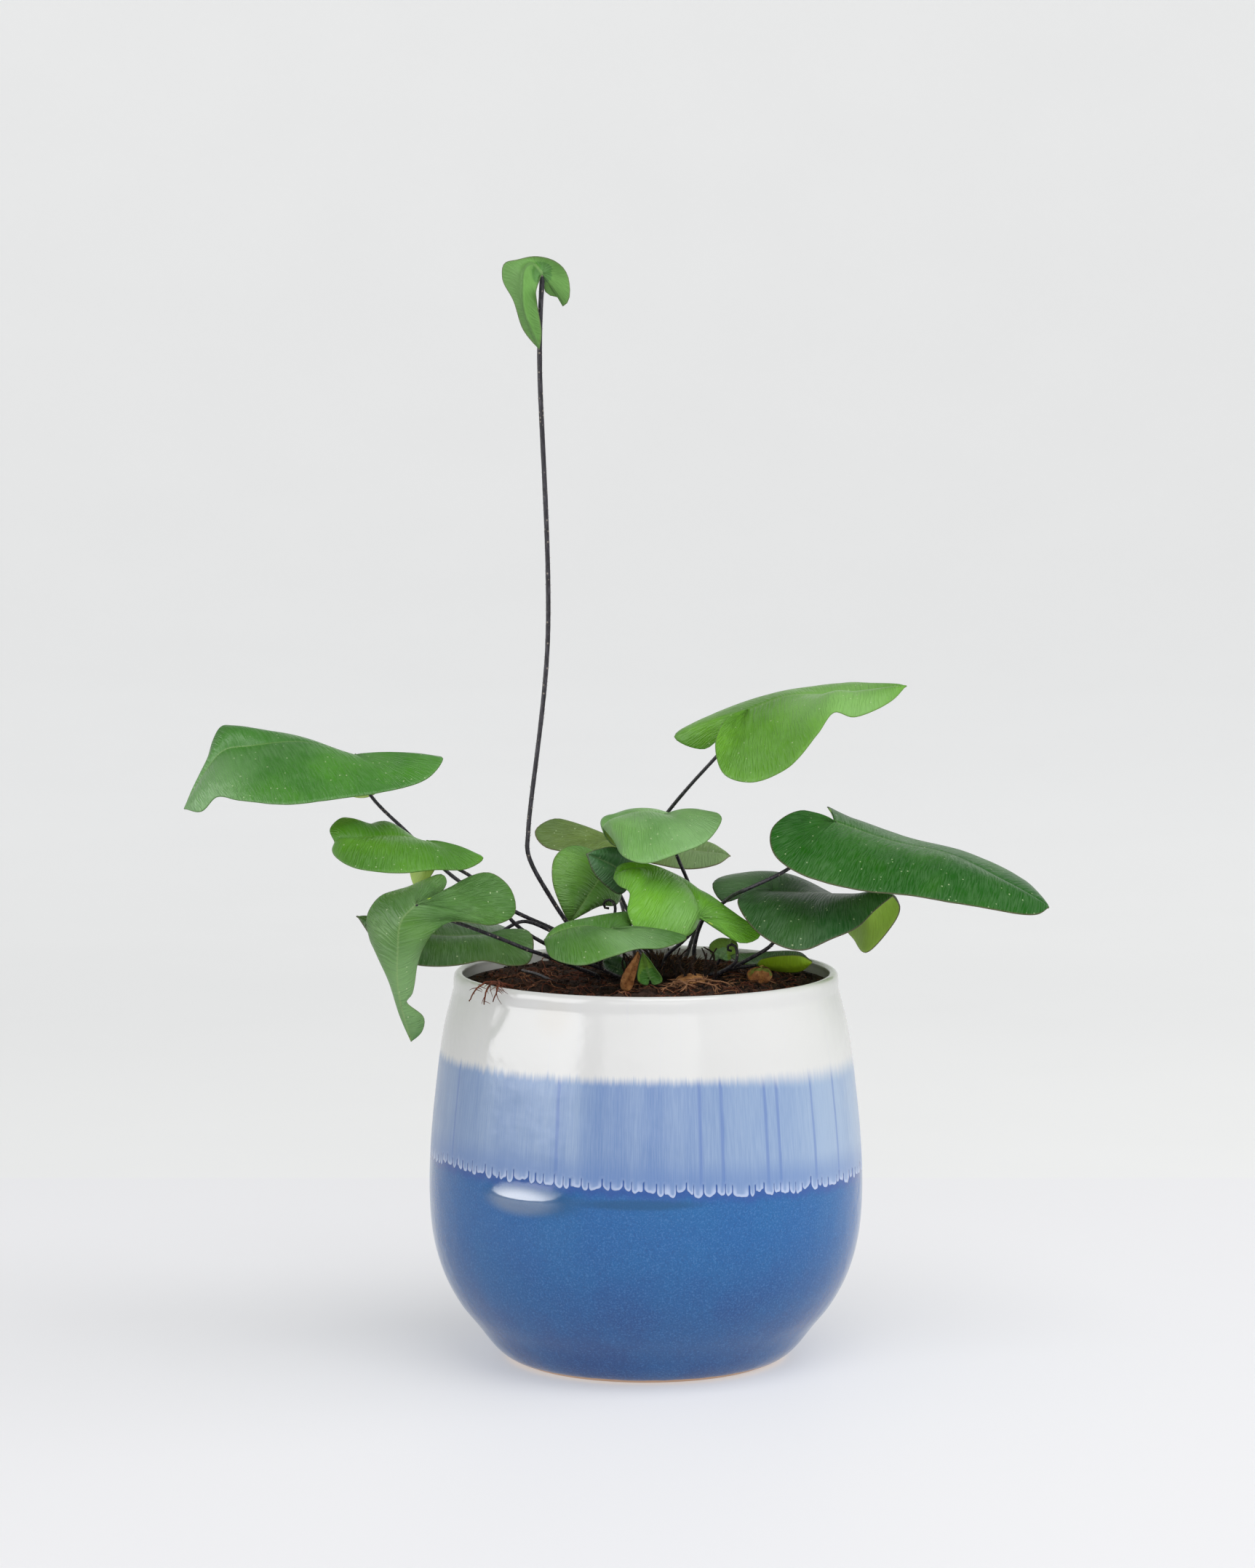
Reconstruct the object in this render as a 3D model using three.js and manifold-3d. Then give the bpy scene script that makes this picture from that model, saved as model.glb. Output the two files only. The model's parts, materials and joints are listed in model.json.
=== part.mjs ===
// Potted heart fern: a round glazed pot filled with potting soil, a creeping rhizome, and the
// fronds that grow from it, each a wiry stalk and a heart-shaped blade. Millimetres, +Z up, with
// the origin at the middle of the pot's flat underside and the plant's front toward -Y.
import * as THREE from 'three';
import { mergeVertices } from 'three/addons/utils/BufferGeometryUtils.js';
import Module from 'manifold-3d';

const wasm = await Module();
wasm.setup();

// ---------------------------------------------------------------- driving dimensions, mm
const POT_RADIUS = 60;            // widest point of the pot
const POT_HEIGHT = 107.6;
const POT_FOOT_RADIUS = 36.5;     // flat ring that the pot stands on
const RIM_OUTER = 52.6;
const RIM_INNER = 50.6;
const FLOOR_THICKNESS = 7;
const SOIL_LEVEL = 104;           // top of the soil round the crown
const SOIL_RELIEF = 1.1;          // height of the lumps in the soil
const GAP = 0.3;                  // clearance between pieces that touch
const BLADE_THICKNESS = 0.7;
const STALK_RADIUS = 0.6;
const HOLE_DEPTH = 4;             // how deep each stalk stands in the soil
const CROWN = new THREE.Vector3(3, 11, 0);        // middle of the rhizome
const RHIZOME_SIZE = new THREE.Vector3(18, 8.5, 4.2);
const SEAM = 44;                  // facets round the pot and the soil

// Outer wall of the pot from the foot to the rim, as [radius, height].
const POT_WALL = [
  [POT_FOOT_RADIUS, 0], [39.6, 1.4], [42.6, 4], [46.9, 9.5], [51.9, 15.8], [56.2, 24],
  [59, 34], [POT_RADIUS, 46], [59.6, 60], [58.2, 75], [56, 91.5], [RIM_OUTER + 0.6, 103],
];
// Inside of the pot, from the rim down to the middle of the floor.
const POT_INSIDE = [
  [RIM_INNER + 0.3, 105.5], [51.4, 98], [53.4, 84], [55, 66], [55.4, 46], [53, 30], [47, 17],
  [37, FLOOR_THICKNESS + 1.5], [30, FLOOR_THICKNESS],
];

// ---------------------------------------------------------------- colours
const finish = (color, roughness, metalness = 0) => ({ color, roughness, metalness });
const GLAZE = finish(0x3f66a8, 0.18);
const SOIL = finish(0x2c1f18, 0.95);
const BARK = finish(0x241a16, 0.85);
const STALK = finish(0x1d1a1c, 0.5);
const ROOT = finish(0x7a4a35, 0.8);
const DRY = finish(0x8a5a34, 0.8);
const LEAF = { dark: finish(0x2f6a2c, 0.4), mid: finish(0x4a8f35, 0.4), light: finish(0x6db32f, 0.4) };

// ---------------------------------------------------------------- the fronds
// One entry for each frond. The two halves of a blade meet at the midrib, which runs from the base,
// where the stalk joins, through the rib points to the tip. near and far are the points that each
// half's margin passes through, from the base round the lobe to the tip. arch is how far each half
// swells above its chord, lobe the share of each margin that lies behind the base, and turn tells
// on which side of the midrib the near half lies. cuts are the rows in the lobe, the rows along the
// midrib and the columns of each half. The stalk runs from its foot through its points to top, or to
// just under the base, raised by seat where the blade's arch lies higher.
const FRONDS = [
  {
    name: 'tall', leaf: 'mid', turn: 1, arch: [1.2, 1.2], lobe: [0.15, 0.45], cuts: [3, 13, 3],
    foot: [-12, 10],
    stalk: [[-18, 9, 114], [-26, 5, 126.5], [-32.5, 2, 139.5], [-32.5, 2, 146], [-27, 1, 199],
      [-29, -3, 274.5], [-28.8, -2.6, 288]], top: [-28.3, -3.1, 296.9],
    base: [-28.5, -4, 299], rib: [[-31, -6, 301.5], [-33, -8, 300], [-33.5, -9, 295], [-33, -8, 288.5]],
    tip: [-29, -5, 278.5],
    near: [[-29, -5, 297.5], [-30, -7, 293.5], [-29.5, -6, 289.5], [-28.5, -5, 283]],
    far: [[-27.5, -2, 298], [-28, -1, 296], [-27, 0, 293.5], [-23, 1, 292], [-22.5, 1, 290],
      [-21, 0, 292.5], [-21.5, -1, 298.5], [-24.5, -4, 302], [-29.5, -5, 303.5], [-35, -5, 302.5],
      [-38.5, -4, 301.5], [-39, -3, 297.5], [-36, -4, 291.5], [-33.5, -5, 284], [-30.5, -5, 280]],
  },
  {
    name: 'left_high', leaf: 'mid', turn: -1, arch: [1.7, 2.2], lobe: [0.42, 0.42], cuts: [5, 10, 3],
    seat: 0.15, foot: [-4, 14],
    stalk: [[-14, 16, 111], [-26, 12, 117.5], [-36, 9, 122.5], [-52, 9, 131.3], [-66.4, 14, 144.2],
      [-77, 10, 156]],
    base: [-80.5, 6, 166.8], rib: [[-95, 8, 170.2], [-109.5, 8, 169], [-116.5, 6, 168], [-121.5, 2, 162.5]],
    tip: [-127, -3, 152.8],
    near: [[-69, 4, 161.6], [-56, -2, 166.9], [-59.5, -10, 162], [-68.5, -13, 159],
      [-82.5, -16, 157], [-97, -18, 155.5], [-110.5, -13, 156], [-117.5, -8.5, 156.5], [-121.5, -8, 152.6]],
    far: [[-74, 14, 157.5], [-80, 24, 153], [-92, 32, 157], [-101.5, 30, 165.8],
      [-110.5, 24, 170.2], [-118, 13, 174], [-122, 6, 163.5]],
  },
  {
    name: 'left_mid', leaf: 'light', turn: -1, arch: [2.2, 1.5], lobe: [0.42, 0.45], cuts: [5, 12, 3],
    foot: [-8.5, 6],
    stalk: [[-17.5, 4, 109.5], [-28, 0, 115], [-34.5, -3, 119.5], [-39.5, -6, 125],
      [-47.5, -7, 134], [-54.5, -8, 138.5]],
    base: [-60, -10, 144.5], rib: [[-67.5, -9, 145.8], [-77, -10, 145.5]], tip: [-85, -12, 144.5],
    near: [[-51.5, -11, 142.5], [-44.5, -14, 140.5], [-49, -20, 138], [-57.5, -26, 138.5],
      [-66.5, -29, 138], [-78, -27, 139], [-85, -18, 142]],
    far: [[-58, -2, 136.5], [-63.5, 5, 130], [-66.5, 12, 136.5], [-69.5, 10, 143.6], [-73.2, 6, 148.1],
      [-77.8, 4, 147.2], [-83, 0, 150], [-86.5, -8, 147.5]],
  },
  {
    name: 'front_left', leaf: 'mid', turn: 1, arch: [1.2, 1.2], lobe: [0.38, 0.45], cuts: [6, 15, 3],
    foot: [-13, 2],
    stalk: [[-18, -5, 108.5], [-26.2, -15, 113.2], [-32.5, -19.5, 116], [-39, -22.5, 119.1],
      [-50.5, -30, 124.5], [-57, -35.5, 127.3]],
    base: [-61.5, -41, 131], rib: [[-65.5, -42, 126.5], [-66.5, -41, 118], [-66.5, -38, 107]],
    tip: [-63.5, -32, 92.5],
    near: [[-56.5, -34, 132], [-54, -26, 135.5], [-55.5, -24, 137], [-64.5, -28, 134],
      [-71.5, -31, 132], [-75, -33, 127], [-74, -34, 120], [-69, -34, 110.5], [-66.5, -33, 101]],
    far: [[-55.5, -38, 132.5], [-48.5, -33, 137], [-42, -29, 138], [-36.5, -26, 133],
      [-35.5, -28, 127], [-41, -33, 124.5], [-52.5, -39, 126], [-58, -39, 122], [-61.5, -37, 114.5],
      [-63, -35, 106], [-64.5, -35, 104], [-60, -32, 99], [-60.5, -32, 95.5]],
  },
  {
    name: 'left_low', leaf: 'dark', turn: -1, arch: [2, 1], lobe: [0.42, 0.42], cuts: [5, 9, 3],
    foot: [-7.5, 11],
    stalk: [[-17, 6.5, 111.5], [-26.5, 4, 118], [-33.5, 1, 121], [-38, -2.8, 119.8]],
    top: [-41.4, -6, 117.4],
    base: [-43, -8, 118.5], rib: [[-55.5, -10, 118.5], [-67.5, -11, 120.5]], tip: [-79, -14, 124.5],
    near: [[-33.5, -8, 120], [-31, -12, 118], [-32, -17, 112], [-37, -20, 111.5], [-44, -21, 113],
      [-51, -22, 112], [-62, -22, 112], [-71, -19, 115]],
    far: [[-40, 0, 118], [-39, 10, 118], [-46.5, 15, 119.5], [-54.5, 12, 121], [-64, 4, 122]],
  },
  {
    name: 'back', leaf: 'mid', turn: 1, arch: [2, 2], lobe: [0.5, 0.35], cuts: [5, 8, 3],
    seat: 0.4, foot: [3, 21],
    stalk: [[-3, 30, 110.5], [-7, 40, 122], [-9, 48, 131.5]],
    base: [-8, 50, 137.5], rib: [[2.5, 53, 136], [14.5, 54, 134.5]], tip: [24.5, 52, 133.5],
    near: [[-18, 54, 141.5], [-26, 53, 144], [-31.5, 50, 141], [-29, 45, 137], [-18, 42, 135],
      [-3.5, 42, 133.5], [12, 44, 130.5], [20.5, 47, 131.5]],
    far: [[-11, 63, 138.5], [-5.5, 68, 139], [7, 66, 137.5], [19.5, 58, 136]],
  },
  {
    name: 'back_left', leaf: 'mid', turn: 1, arch: [1.6, 1.2], lobe: [0.42, 0.42], cuts: [5, 7, 3],
    seat: 0.15, foot: [1, 17.5],
    stalk: [[0, 25, 110.5], [-4, 34, 117.5], [-8.5, 34, 127]],
    base: [-11.5, 24, 132.5], rib: [[-15, 21, 127.5], [-19, 18, 122]], tip: [-21.5, 17, 118.5],
    near: [[-15, 26, 138], [-21, 24, 139.5], [-25.5, 19, 136.5], [-26, 16, 130.5], [-23.5, 15, 123]],
    far: [[-9.5, 28, 134], [-7, 30, 133.5], [-6.5, 30, 128], [-8, 28, 122.5], [-13, 23, 122.5],
      [-18, 19, 120.5]],
  },
  {
    name: 'inner_dark', leaf: 'dark', turn: -1, arch: [1.2, 1.2], lobe: [0.4, 0.4], cuts: [3, 5, 2],
    foot: [1, 12.5],
    stalk: [[1.5, 13.5, 113], [0.5, 15.5, 122], [-2, 16, 129]],
    base: [-5, 14, 132.5], rib: [[-10.5, 11, 136]], tip: [-16.5, 8, 139],
    near: [[-4.5, 12, 130], [-7, 10, 127.5], [-11, 8, 130], [-14.5, 7, 134]],
    far: [[-2.5, 18, 133.5], [-3, 20, 137.5], [-8.5, 15, 140], [-13.5, 10, 140]],
  },
  {
    name: 'top_centre', leaf: 'mid', turn: -1, arch: [3, 5], lobe: [0.42, 0.4], cuts: [5, 9, 3],
    seat: 0.1, foot: [10, 18],
    stalk: [[12.5, 22, 111.5], [15, 26, 120], [12, 24, 129], [8.5, 17, 138]],
    base: [5, 12, 149.4], rib: [[-0.5, 12, 150.5], [-6.5, 12, 149.2]], tip: [-12, 10, 146.2],
    near: [[13.3, 9, 148.4], [18.3, 5, 150.8], [20.8, 0, 149.6], [16.5, -6, 144], [8.5, -10, 141],
      [-0.5, -11, 138.5], [-6, -8, 140], [-9, 2, 143.5]],
    far: [[7.5, 16, 143], [8.5, 22, 140.5], [1.5, 26, 140], [-5, 24, 140], [-8.5, 19, 140],
      [-11, 14, 143]],
  },
  {
    name: 'centre', leaf: 'light', turn: -1, arch: [3.5, 1.5], lobe: [0.15, 0.45], cuts: [5, 10, 3],
    seat: 0.5, foot: [4.5, 6.5],
    stalk: [[5.5, 4, 110.5], [10.5, -1, 116], [13.5, -2.5, 119.5]],
    base: [14.5, -6, 123], rib: [[13.5, -3, 128], [9.5, 1, 132.5], [1.5, 3, 136]],
    tip: [-9, -3, 133.5],
    near: [[13.5, -11, 120.5], [10.5, -16, 119], [3.5, -19, 120], [-2, -18, 120.5],
      [-5, -15, 125.5], [-4.5, -11, 130.5], [-7.5, -7, 132]],
    far: [[19.5, -9, 120], [26.5, -11, 116.5], [31.5, -7, 118.5], [24.5, -4, 123.8],
      [16, 4, 128.8], [5.5, 16, 130.5], [-4, 12, 133.5], [-7.5, 5, 136]],
  },
  {
    name: 'front_low', leaf: 'mid', turn: -1, arch: [1.6, 1.2], lobe: [0.42, 0.42], cuts: [5, 8, 3],
    seat: 0.6, foot: [-6, -3],
    stalk: [[-9, -9, 107.5], [-12.5, -13.5, 110.5], [-12, -16, 114]],
    base: [-10, -18, 121], rib: [[-16, -18, 122.2], [-22.5, -18.5, 121.2]], tip: [-27.8, -22, 119],
    near: [[-3, -18.5, 122], [11, -25, 120], [4.5, -28, 117.5], [-2.5, -30.5, 117.5],
      [-9.5, -33, 115.8], [-17.5, -34, 113.6], [-25.5, -29, 115]],
    far: [[-4, -14, 122], [-3, -7.5, 124.6], [-9.5, -5, 124], [-17, -8, 122.3], [-24.5, -15, 121]],
  },
  {
    name: 'right_low', leaf: 'dark', turn: 1, arch: [3.5, 3.5], lobe: [0.3, 0.35], cuts: [5, 10, 3],
    seat: 0.5, foot: [15.5, 6],
    stalk: [[20.5, 6, 106], [28.5, 1, 110.5], [35.5, -2, 116], [36.5, 0, 123]],
    base: [35, -1, 129.5], rib: [[45.5, -3, 129.5], [58.5, -7, 129.5]], tip: [67.5, -13, 130],
    near: [[29, -3.5, 130.3], [25.2, -9, 128.2], [28, -18, 123], [34.5, -26, 118.5], [42, -29, 117],
      [49.5, -30, 120], [56.5, -26, 122.5], [62.5, -19, 127]],
    far: [[27.5, 2, 128], [21.5, 4, 126], [18.5, 8, 130.5], [25, 15, 132.5], [36.5, 23, 130.5],
      [47.5, 27, 124], [57.5, 17, 115], [61, 7, 111.5], [67.5, -3, 120], [69.5, -9, 126]],
  },
  {
    name: 'right_long', leaf: 'dark', turn: 1, arch: [3, 1], lobe: [0.36, 0.15], cuts: [5, 10, 3],
    foot: [14, 13],
    stalk: [[13.5, 12, 112], [16, 10, 120.5], [21, 2, 125.8], [24.3, -7.5, 129.5], [28.7, -13, 132.2],
      [38.5, -14.5, 137.3], [47, -8, 143.5]],
    base: [52, -2, 149], rib: [[67.5, -5, 144], [84, -9, 140.5], [98.5, -15, 133.5]],
    tip: [109.5, -19, 127.5],
    near: [[42.5, -6, 152.5], [34.5, -13, 148.5], [34.5, -21, 142.5], [40.5, -27, 138],
      [55, -31, 134], [70.5, -34, 132.5], [88, -33, 129.5], [105.5, -23, 126]],
    far: [[51, 5, 151.5], [50.5, 9, 152], [59.5, 18, 147], [75, 24, 141], [92, 18, 137],
      [105, 2, 132]],
  },
  {
    name: 'right_high', leaf: 'light', turn: 1, arch: [3.2, 1], lobe: [0.4, 0.42], cuts: [5, 12, 3],
    foot: [-2.5, 21.5],
    stalk: [[-3.5, 24.5, 111], [-4.5, 27, 117.5], [-4, 30.5, 124], [-2.5, 33, 131], [-0.5, 32, 139],
      [6.5, 27, 149], [12.5, 20, 157], [19.5, 13, 165.5], [25, 11.5, 172]],
    base: [28.5, 10, 179], rib: [[39.5, 9, 183], [54.5, 7, 183.5]], tip: [71.5, 0, 186.5],
    near: [[22.5, 3, 177.5], [19, -6, 170.5], [21.5, -13, 163], [29, -17, 161.5], [39, -18, 166],
      [46.5, -16, 174.5], [51.5, -10, 180], [56.5, -9, 178.5], [67, -4, 182.5]],
    far: [[22.5, 15, 173.5], [16.5, 17, 167.5], [8, 20, 170.5], [20, 28, 176.5], [36.5, 29, 181.5],
      [53, 19, 185.5], [66.5, 6, 186.5]],
  },
  {
    name: 'right_small', leaf: 'dark', turn: 1, arch: [-1, -1], lobe: [0.3, 0.42], cuts: [3, 5, 2],
    foot: [20.5, 13],
    stalk: [[24, 12.5, 106.2]],
    base: [31, 10, 107.5], rib: [[37, 5, 106.8], [42.5, 0, 107.5]], tip: [45.5, -4, 110.5],
    near: [[32, 4, 110], [38.5, -2, 112], [43, -4, 112]],
    far: [[25.5, 15, 108], [24, 20, 109], [33, 19, 110], [42, 9, 111.5]],
  },
  {
    name: 'back_small', leaf: 'mid', turn: 1, arch: [1, 1], lobe: [0.3, 0.3], cuts: [3, 4, 2],
    foot: [20, 24.5],
    stalk: [], top: [20.4, 23.9, 106.3],
    base: [21, 22, 108], rib: [[22.5, 23, 110]], tip: [24, 25, 113],
    near: [[19.5, 24, 107], [18, 24, 111], [20.5, 25, 113]],
    far: [[23.5, 24, 107], [26, 27, 110], [25.5, 26, 112]],
  },
  {
    name: 'shaded_small', leaf: 'dark', turn: -1, arch: [1, 1], lobe: [0.4, 0.4], cuts: [3, 4, 2],
    foot: [-4.5, 0],
    stalk: [], top: [-5.8, 0.2, 106.4],
    base: [-6.8, 0, 107.4], rib: [[-9, 0, 108.4]], tip: [-12, 0.5, 109.8],
    near: [[-6, -1.2, 106.6], [-8, -2, 106.3], [-11, -1.5, 107.4]],
    far: [[-5.6, 2, 108.5], [-7, 2.5, 111], [-10, 2, 111.5]],
  },
  {
    name: 'young_front', leaf: 'light', turn: 1, arch: [0.6, 0.6], lobe: [0.4, 0.4], cuts: [3, 4, 2],
    foot: [1.2, -13],
    stalk: [], top: [1.1, -15.5, 106.9],
    base: [1, -16.4, 107.6], rib: [[0, -17.5, 111]], tip: [-1, -20, 115.5],
    near: [[0.3, -17.2, 105.9], [-2.2, -18.2, 107.2], [-2, -19, 111.5]],
    far: [[1.9, -16.9, 105.9], [4.4, -17.2, 107], [2, -18.5, 111.5]],
  },
];

// ---------------------------------------------------------------- shared helpers
const vector = (p) => new THREE.Vector3(p[0], p[1], p[2]);
const spline = (points) => new THREE.CatmullRomCurve3(points, false, 'centripetal');

function smoothstep(low, high, x) {
  const t = THREE.MathUtils.clamp((x - low) / (high - low), 0, 1);
  return t * t * (3 - 2 * t);
}

function meshGeometry(positions, triangles) {
  const geometry = new THREE.BufferGeometry();
  geometry.setAttribute('position', new THREE.Float32BufferAttribute(positions, 3));
  geometry.setIndex(triangles);
  return geometry;
}

function toSolid(geometry) {
  const bare = geometry.clone();
  bare.deleteAttribute('normal');
  bare.deleteAttribute('uv');
  const merged = mergeVertices(bare, 1e-4);
  return new wasm.Manifold(new wasm.Mesh({
    numProp: 3,
    vertProperties: new Float32Array(merged.attributes.position.array),
    triVerts: new Uint32Array(merged.index.array),
  }));
}

function toGeometry(solid) {
  const mesh = solid.getMesh();
  return meshGeometry(Array.from(mesh.vertProperties), Array.from(mesh.triVerts));
}

function named(name, geometry, look) {
  const material = new THREE.MeshStandardMaterial({ ...look, side: THREE.FrontSide });
  const mesh = new THREE.Mesh(geometry, material);
  mesh.name = name;
  geometry.computeVertexNormals();
  return mesh;
}

// A bar of the given radius along a line of points, closed at both ends.
function bar(line, radius, sides) {
  const positions = [];
  const faces = [];
  const last = line.length - 1;
  let across = new THREE.Vector3(1, 0, 0);
  line.forEach((point, i) => {
    const before = point.clone().sub(line[Math.max(i - 1, 0)]).normalize();
    const after = line[Math.min(i + 1, last)].clone().sub(point).normalize();
    const along = before.add(after).normalize();
    across = across.addScaledVector(along, -across.dot(along)).normalize();
    const aside = along.clone().cross(across);
    for (let k = 0; k < sides; k += 1) {
      const angle = (2 * Math.PI * k) / sides;
      const corner = point.clone().addScaledVector(across, radius * Math.cos(angle));
      positions.push(...corner.addScaledVector(aside, radius * Math.sin(angle)).toArray());
    }
  });
  for (let k = 0; k < sides; k += 1) {
    const next = (k + 1) % sides;
    for (let i = 0; i < last; i += 1) {
      const [a, b] = [i * sides + k, i * sides + next];
      faces.push(a, b, b + sides, a, b + sides, a + sides);
    }
    if (k > 0 && k < sides - 1) {
      const end = last * sides;
      faces.push(0, k + 1, k, end, end + k, end + k + 1);
    }
  }
  return meshGeometry(positions, faces);
}

// ---------------------------------------------------------------- blades
// One half of a blade as rows of points, each row a vein from the midrib to the margin.
function bladeRows(frond, side) {
  const [lobeRows, ribRows, columns] = frond.cuts;
  const margin = side === 0 ? frond.near : frond.far;
  const lobe = frond.lobe[side];
  const hand = side === 0 ? -frond.turn : frond.turn;
  const rib = spline([frond.base, ...frond.rib, frond.tip].map(vector));
  const edge = spline([frond.base, ...margin, frond.tip].map(vector));
  const shares = [];
  for (let i = 0; i <= lobeRows; i += 1) shares.push([0, (lobe * i) / lobeRows]);
  for (let i = 1; i <= ribRows; i += 1) {
    shares.push([i / ribRows, lobe + ((1 - lobe) * i) / ribRows]);
  }
  const rows = shares.map(([along, share]) => {
    const inner = rib.getPointAt(along);
    const outer = edge.getPointAt(share);
    return { share, inner, outer, reach: inner.distanceTo(outer) };
  });
  const raw = rows.map((row, i) => {
    const before = rows[Math.max(i - 1, 0)];
    const after = rows[Math.min(i + 1, rows.length - 1)];
    const run = after.outer.clone().sub(before.outer).divideScalar(after.share - before.share);
    return run.cross(row.outer.clone().sub(row.inner)).multiplyScalar(hand);
  });
  const SPREAD = 0.16;
  const widest = Math.max(...rows.map((row) => row.reach));
  return rows.map((row, i) => {
    const swell = new THREE.Vector3();
    rows.forEach((other, j) => {
      const apart = Math.abs(other.share - row.share);
      if (apart < SPREAD) {
        const span = rows[Math.min(j + 1, rows.length - 1)].share - rows[Math.max(j - 1, 0)].share;
        swell.addScaledVector(raw[j], span * (1 + Math.cos((Math.PI * apart) / SPREAD)));
      }
    });
    const breadth = Math.sin((Math.PI / 2) * Math.min(1, row.reach / (0.6 * widest)));
    const past = 0.4 + 0.6 * smoothstep(0.15, lobe + 0.1, row.share);
    swell.normalize().multiplyScalar(frond.arch[side] * breadth * past);
    const line = [];
    for (let c = 0; c <= columns; c += 1) {
      const across = c / columns;
      const point = row.inner.clone().lerp(row.outer, across);
      line.push(point.addScaledVector(swell, Math.sin(Math.PI * across)));
    }
    return line;
  });
}

// The middle surface of a blade: the two halves share the vertices of the midrib.
function bladeSurface(frond) {
  const [lobeRows, , columns] = frond.cuts;
  const points = [];
  const triangles = [];
  const spine = new Map();
  const add = (point) => points.push(point) - 1;
  for (const side of [0, 1]) {
    const rows = bladeRows(frond, side);
    const last = rows.length - 1;
    const upright = (side === 0) === (frond.turn > 0);
    const index = rows.map((line, r) => line.map((point, c) => {
      const key = r === last ? last : Math.max(r, lobeRows);
      if (c > 0 && r < last) return add(point);
      if (!spine.has(key)) spine.set(key, add(point));
      return spine.get(key);
    }));
    const face = (a, b, c) => {
      if (a === b || b === c || a === c) return;
      triangles.push(...(upright ? [a, c, b] : [a, b, c]));
    };
    for (let r = 1; r < last; r += 1) {
      for (let c = 0; c < columns; c += 1) {
        const [a, b] = [index[r][c], index[r + 1][c]];
        const [d, e] = [index[r][c + 1], index[r + 1][c + 1]];
        face(a, b, e);
        face(a, e, d);
      }
    }
  }
  return { points, triangles };
}

// Gives a surface its thickness: both faces take the same triangles and a strip closes the margin.
function thicken({ points, triangles }, thickness) {
  const normals = points.map(() => new THREE.Vector3());
  const edges = new Map();
  for (let i = 0; i < triangles.length; i += 3) {
    const corner = triangles.slice(i, i + 3);
    const [a, b, c] = corner.map((k) => points[k]);
    const area = b.clone().sub(a).cross(c.clone().sub(a));
    corner.forEach((k, n) => {
      normals[k].add(area);
      const next = corner[(n + 1) % 3];
      const back = `${next}_${k}`;
      if (edges.has(back)) edges.delete(back);
      else edges.set(`${k}_${next}`, [k, next]);
    });
  }
  normals.forEach((normal) => normal.normalize());
  const positions = [];
  for (const sign of [0.5, -0.5]) {
    points.forEach((point, k) => {
      positions.push(...point.clone().addScaledVector(normals[k], sign * thickness).toArray());
    });
  }
  const under = points.length;
  const faces = [...triangles];
  for (let i = 0; i < triangles.length; i += 3) {
    const [a, b, c] = triangles.slice(i, i + 3);
    faces.push(a + under, c + under, b + under);
  }
  for (const [a, b] of edges.values()) {
    faces.push(a, a + under, b + under, a, b + under, b);
  }
  return { geometry: meshGeometry(positions, faces), normals };
}

// ---------------------------------------------------------------- stalks
// The line of a stalk: upright in the soil, then through its points to just under the blade.
function stalkLine(foot, points, top) {
  const [x, y] = foot;
  const rise = [-HOLE_DEPTH, -1, 1].map((step) => new THREE.Vector3(x, y, SOIL_LEVEL + step));
  const knots = [...rise, ...points.map(vector), top];
  return spline(knots).getPoints(2 * (knots.length - 1));
}

// What is cut away round the lower end of a stalk, in the soil and in the rhizome.
function stalkHole(line) {
  const above = line.findIndex((point) => point.z > SOIL_LEVEL + 6.5);
  const low = line.slice(0, above < 0 ? line.length : above + 1);
  const bottom = low[0].clone().setZ(low[0].z - GAP);
  return toSolid(bar([bottom, ...low.slice(1)], STALK_RADIUS + 1.2 * GAP, 6));
}

// ---------------------------------------------------------------- pot and soil
function revolve(profile, segments) {
  const points = profile.map(([radius, height]) => new THREE.Vector2(radius, height));
  const geometry = new THREE.LatheGeometry(points, segments);
  return geometry.rotateX(Math.PI / 2);
}

function potGeometry() {
  const rim = [
    [RIM_OUTER + 0.4, POT_HEIGHT - 1], [RIM_OUTER - 0.2, POT_HEIGHT - 0.15],
    [(RIM_OUTER + RIM_INNER) / 2, POT_HEIGHT], [RIM_INNER, POT_HEIGHT - 0.5],
  ];
  const floor = [[0, FLOOR_THICKNESS]];
  return revolve([[0, 0], ...POT_WALL, ...rim, ...POT_INSIDE, ...floor], SEAM);
}

// Height of the lumps in the soil, flat round the rhizome and at the wall.
function soilRelief(x, y) {
  const lumps = Math.sin(x * 0.31 + 1) * Math.cos(y * 0.27) + 0.6 * Math.sin(x * 0.71 - y * 0.53 + 2);
  const toCrown = Math.hypot(x - CROWN.x, y - CROWN.y);
  const toWall = Math.hypot(x, y) / RIM_INNER;
  return SOIL_RELIEF * lumps * smoothstep(22, 32, toCrown) * smoothstep(0.99, 0.85, toWall);
}

function soilSolid(holes) {
  const inside = [...POT_INSIDE].reverse().filter(([, height]) => height < SOIL_LEVEL);
  const wall = inside.map(([radius, height]) => [radius - GAP, height + GAP]);
  const edge = [RIM_INNER + 0.3 - GAP, SOIL_LEVEL];
  const top = [0.97, 0.85, 0.72, 0.58, 0.42, 0.22].map((share) => [share * edge[0], SOIL_LEVEL]);
  const profile = [[0, FLOOR_THICKNESS + GAP], ...wall, edge, ...top, [0, SOIL_LEVEL]];
  const geometry = revolve(profile, SEAM);
  const place = geometry.attributes.position;
  for (let i = 0; i < place.count; i += 1) {
    if (place.getZ(i) > SOIL_LEVEL - 0.01) {
      place.setZ(i, SOIL_LEVEL + soilRelief(place.getX(i), place.getY(i)));
    }
  }
  return holes.reduce((solid, hole) => solid.subtract(hole), toSolid(geometry));
}

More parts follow.
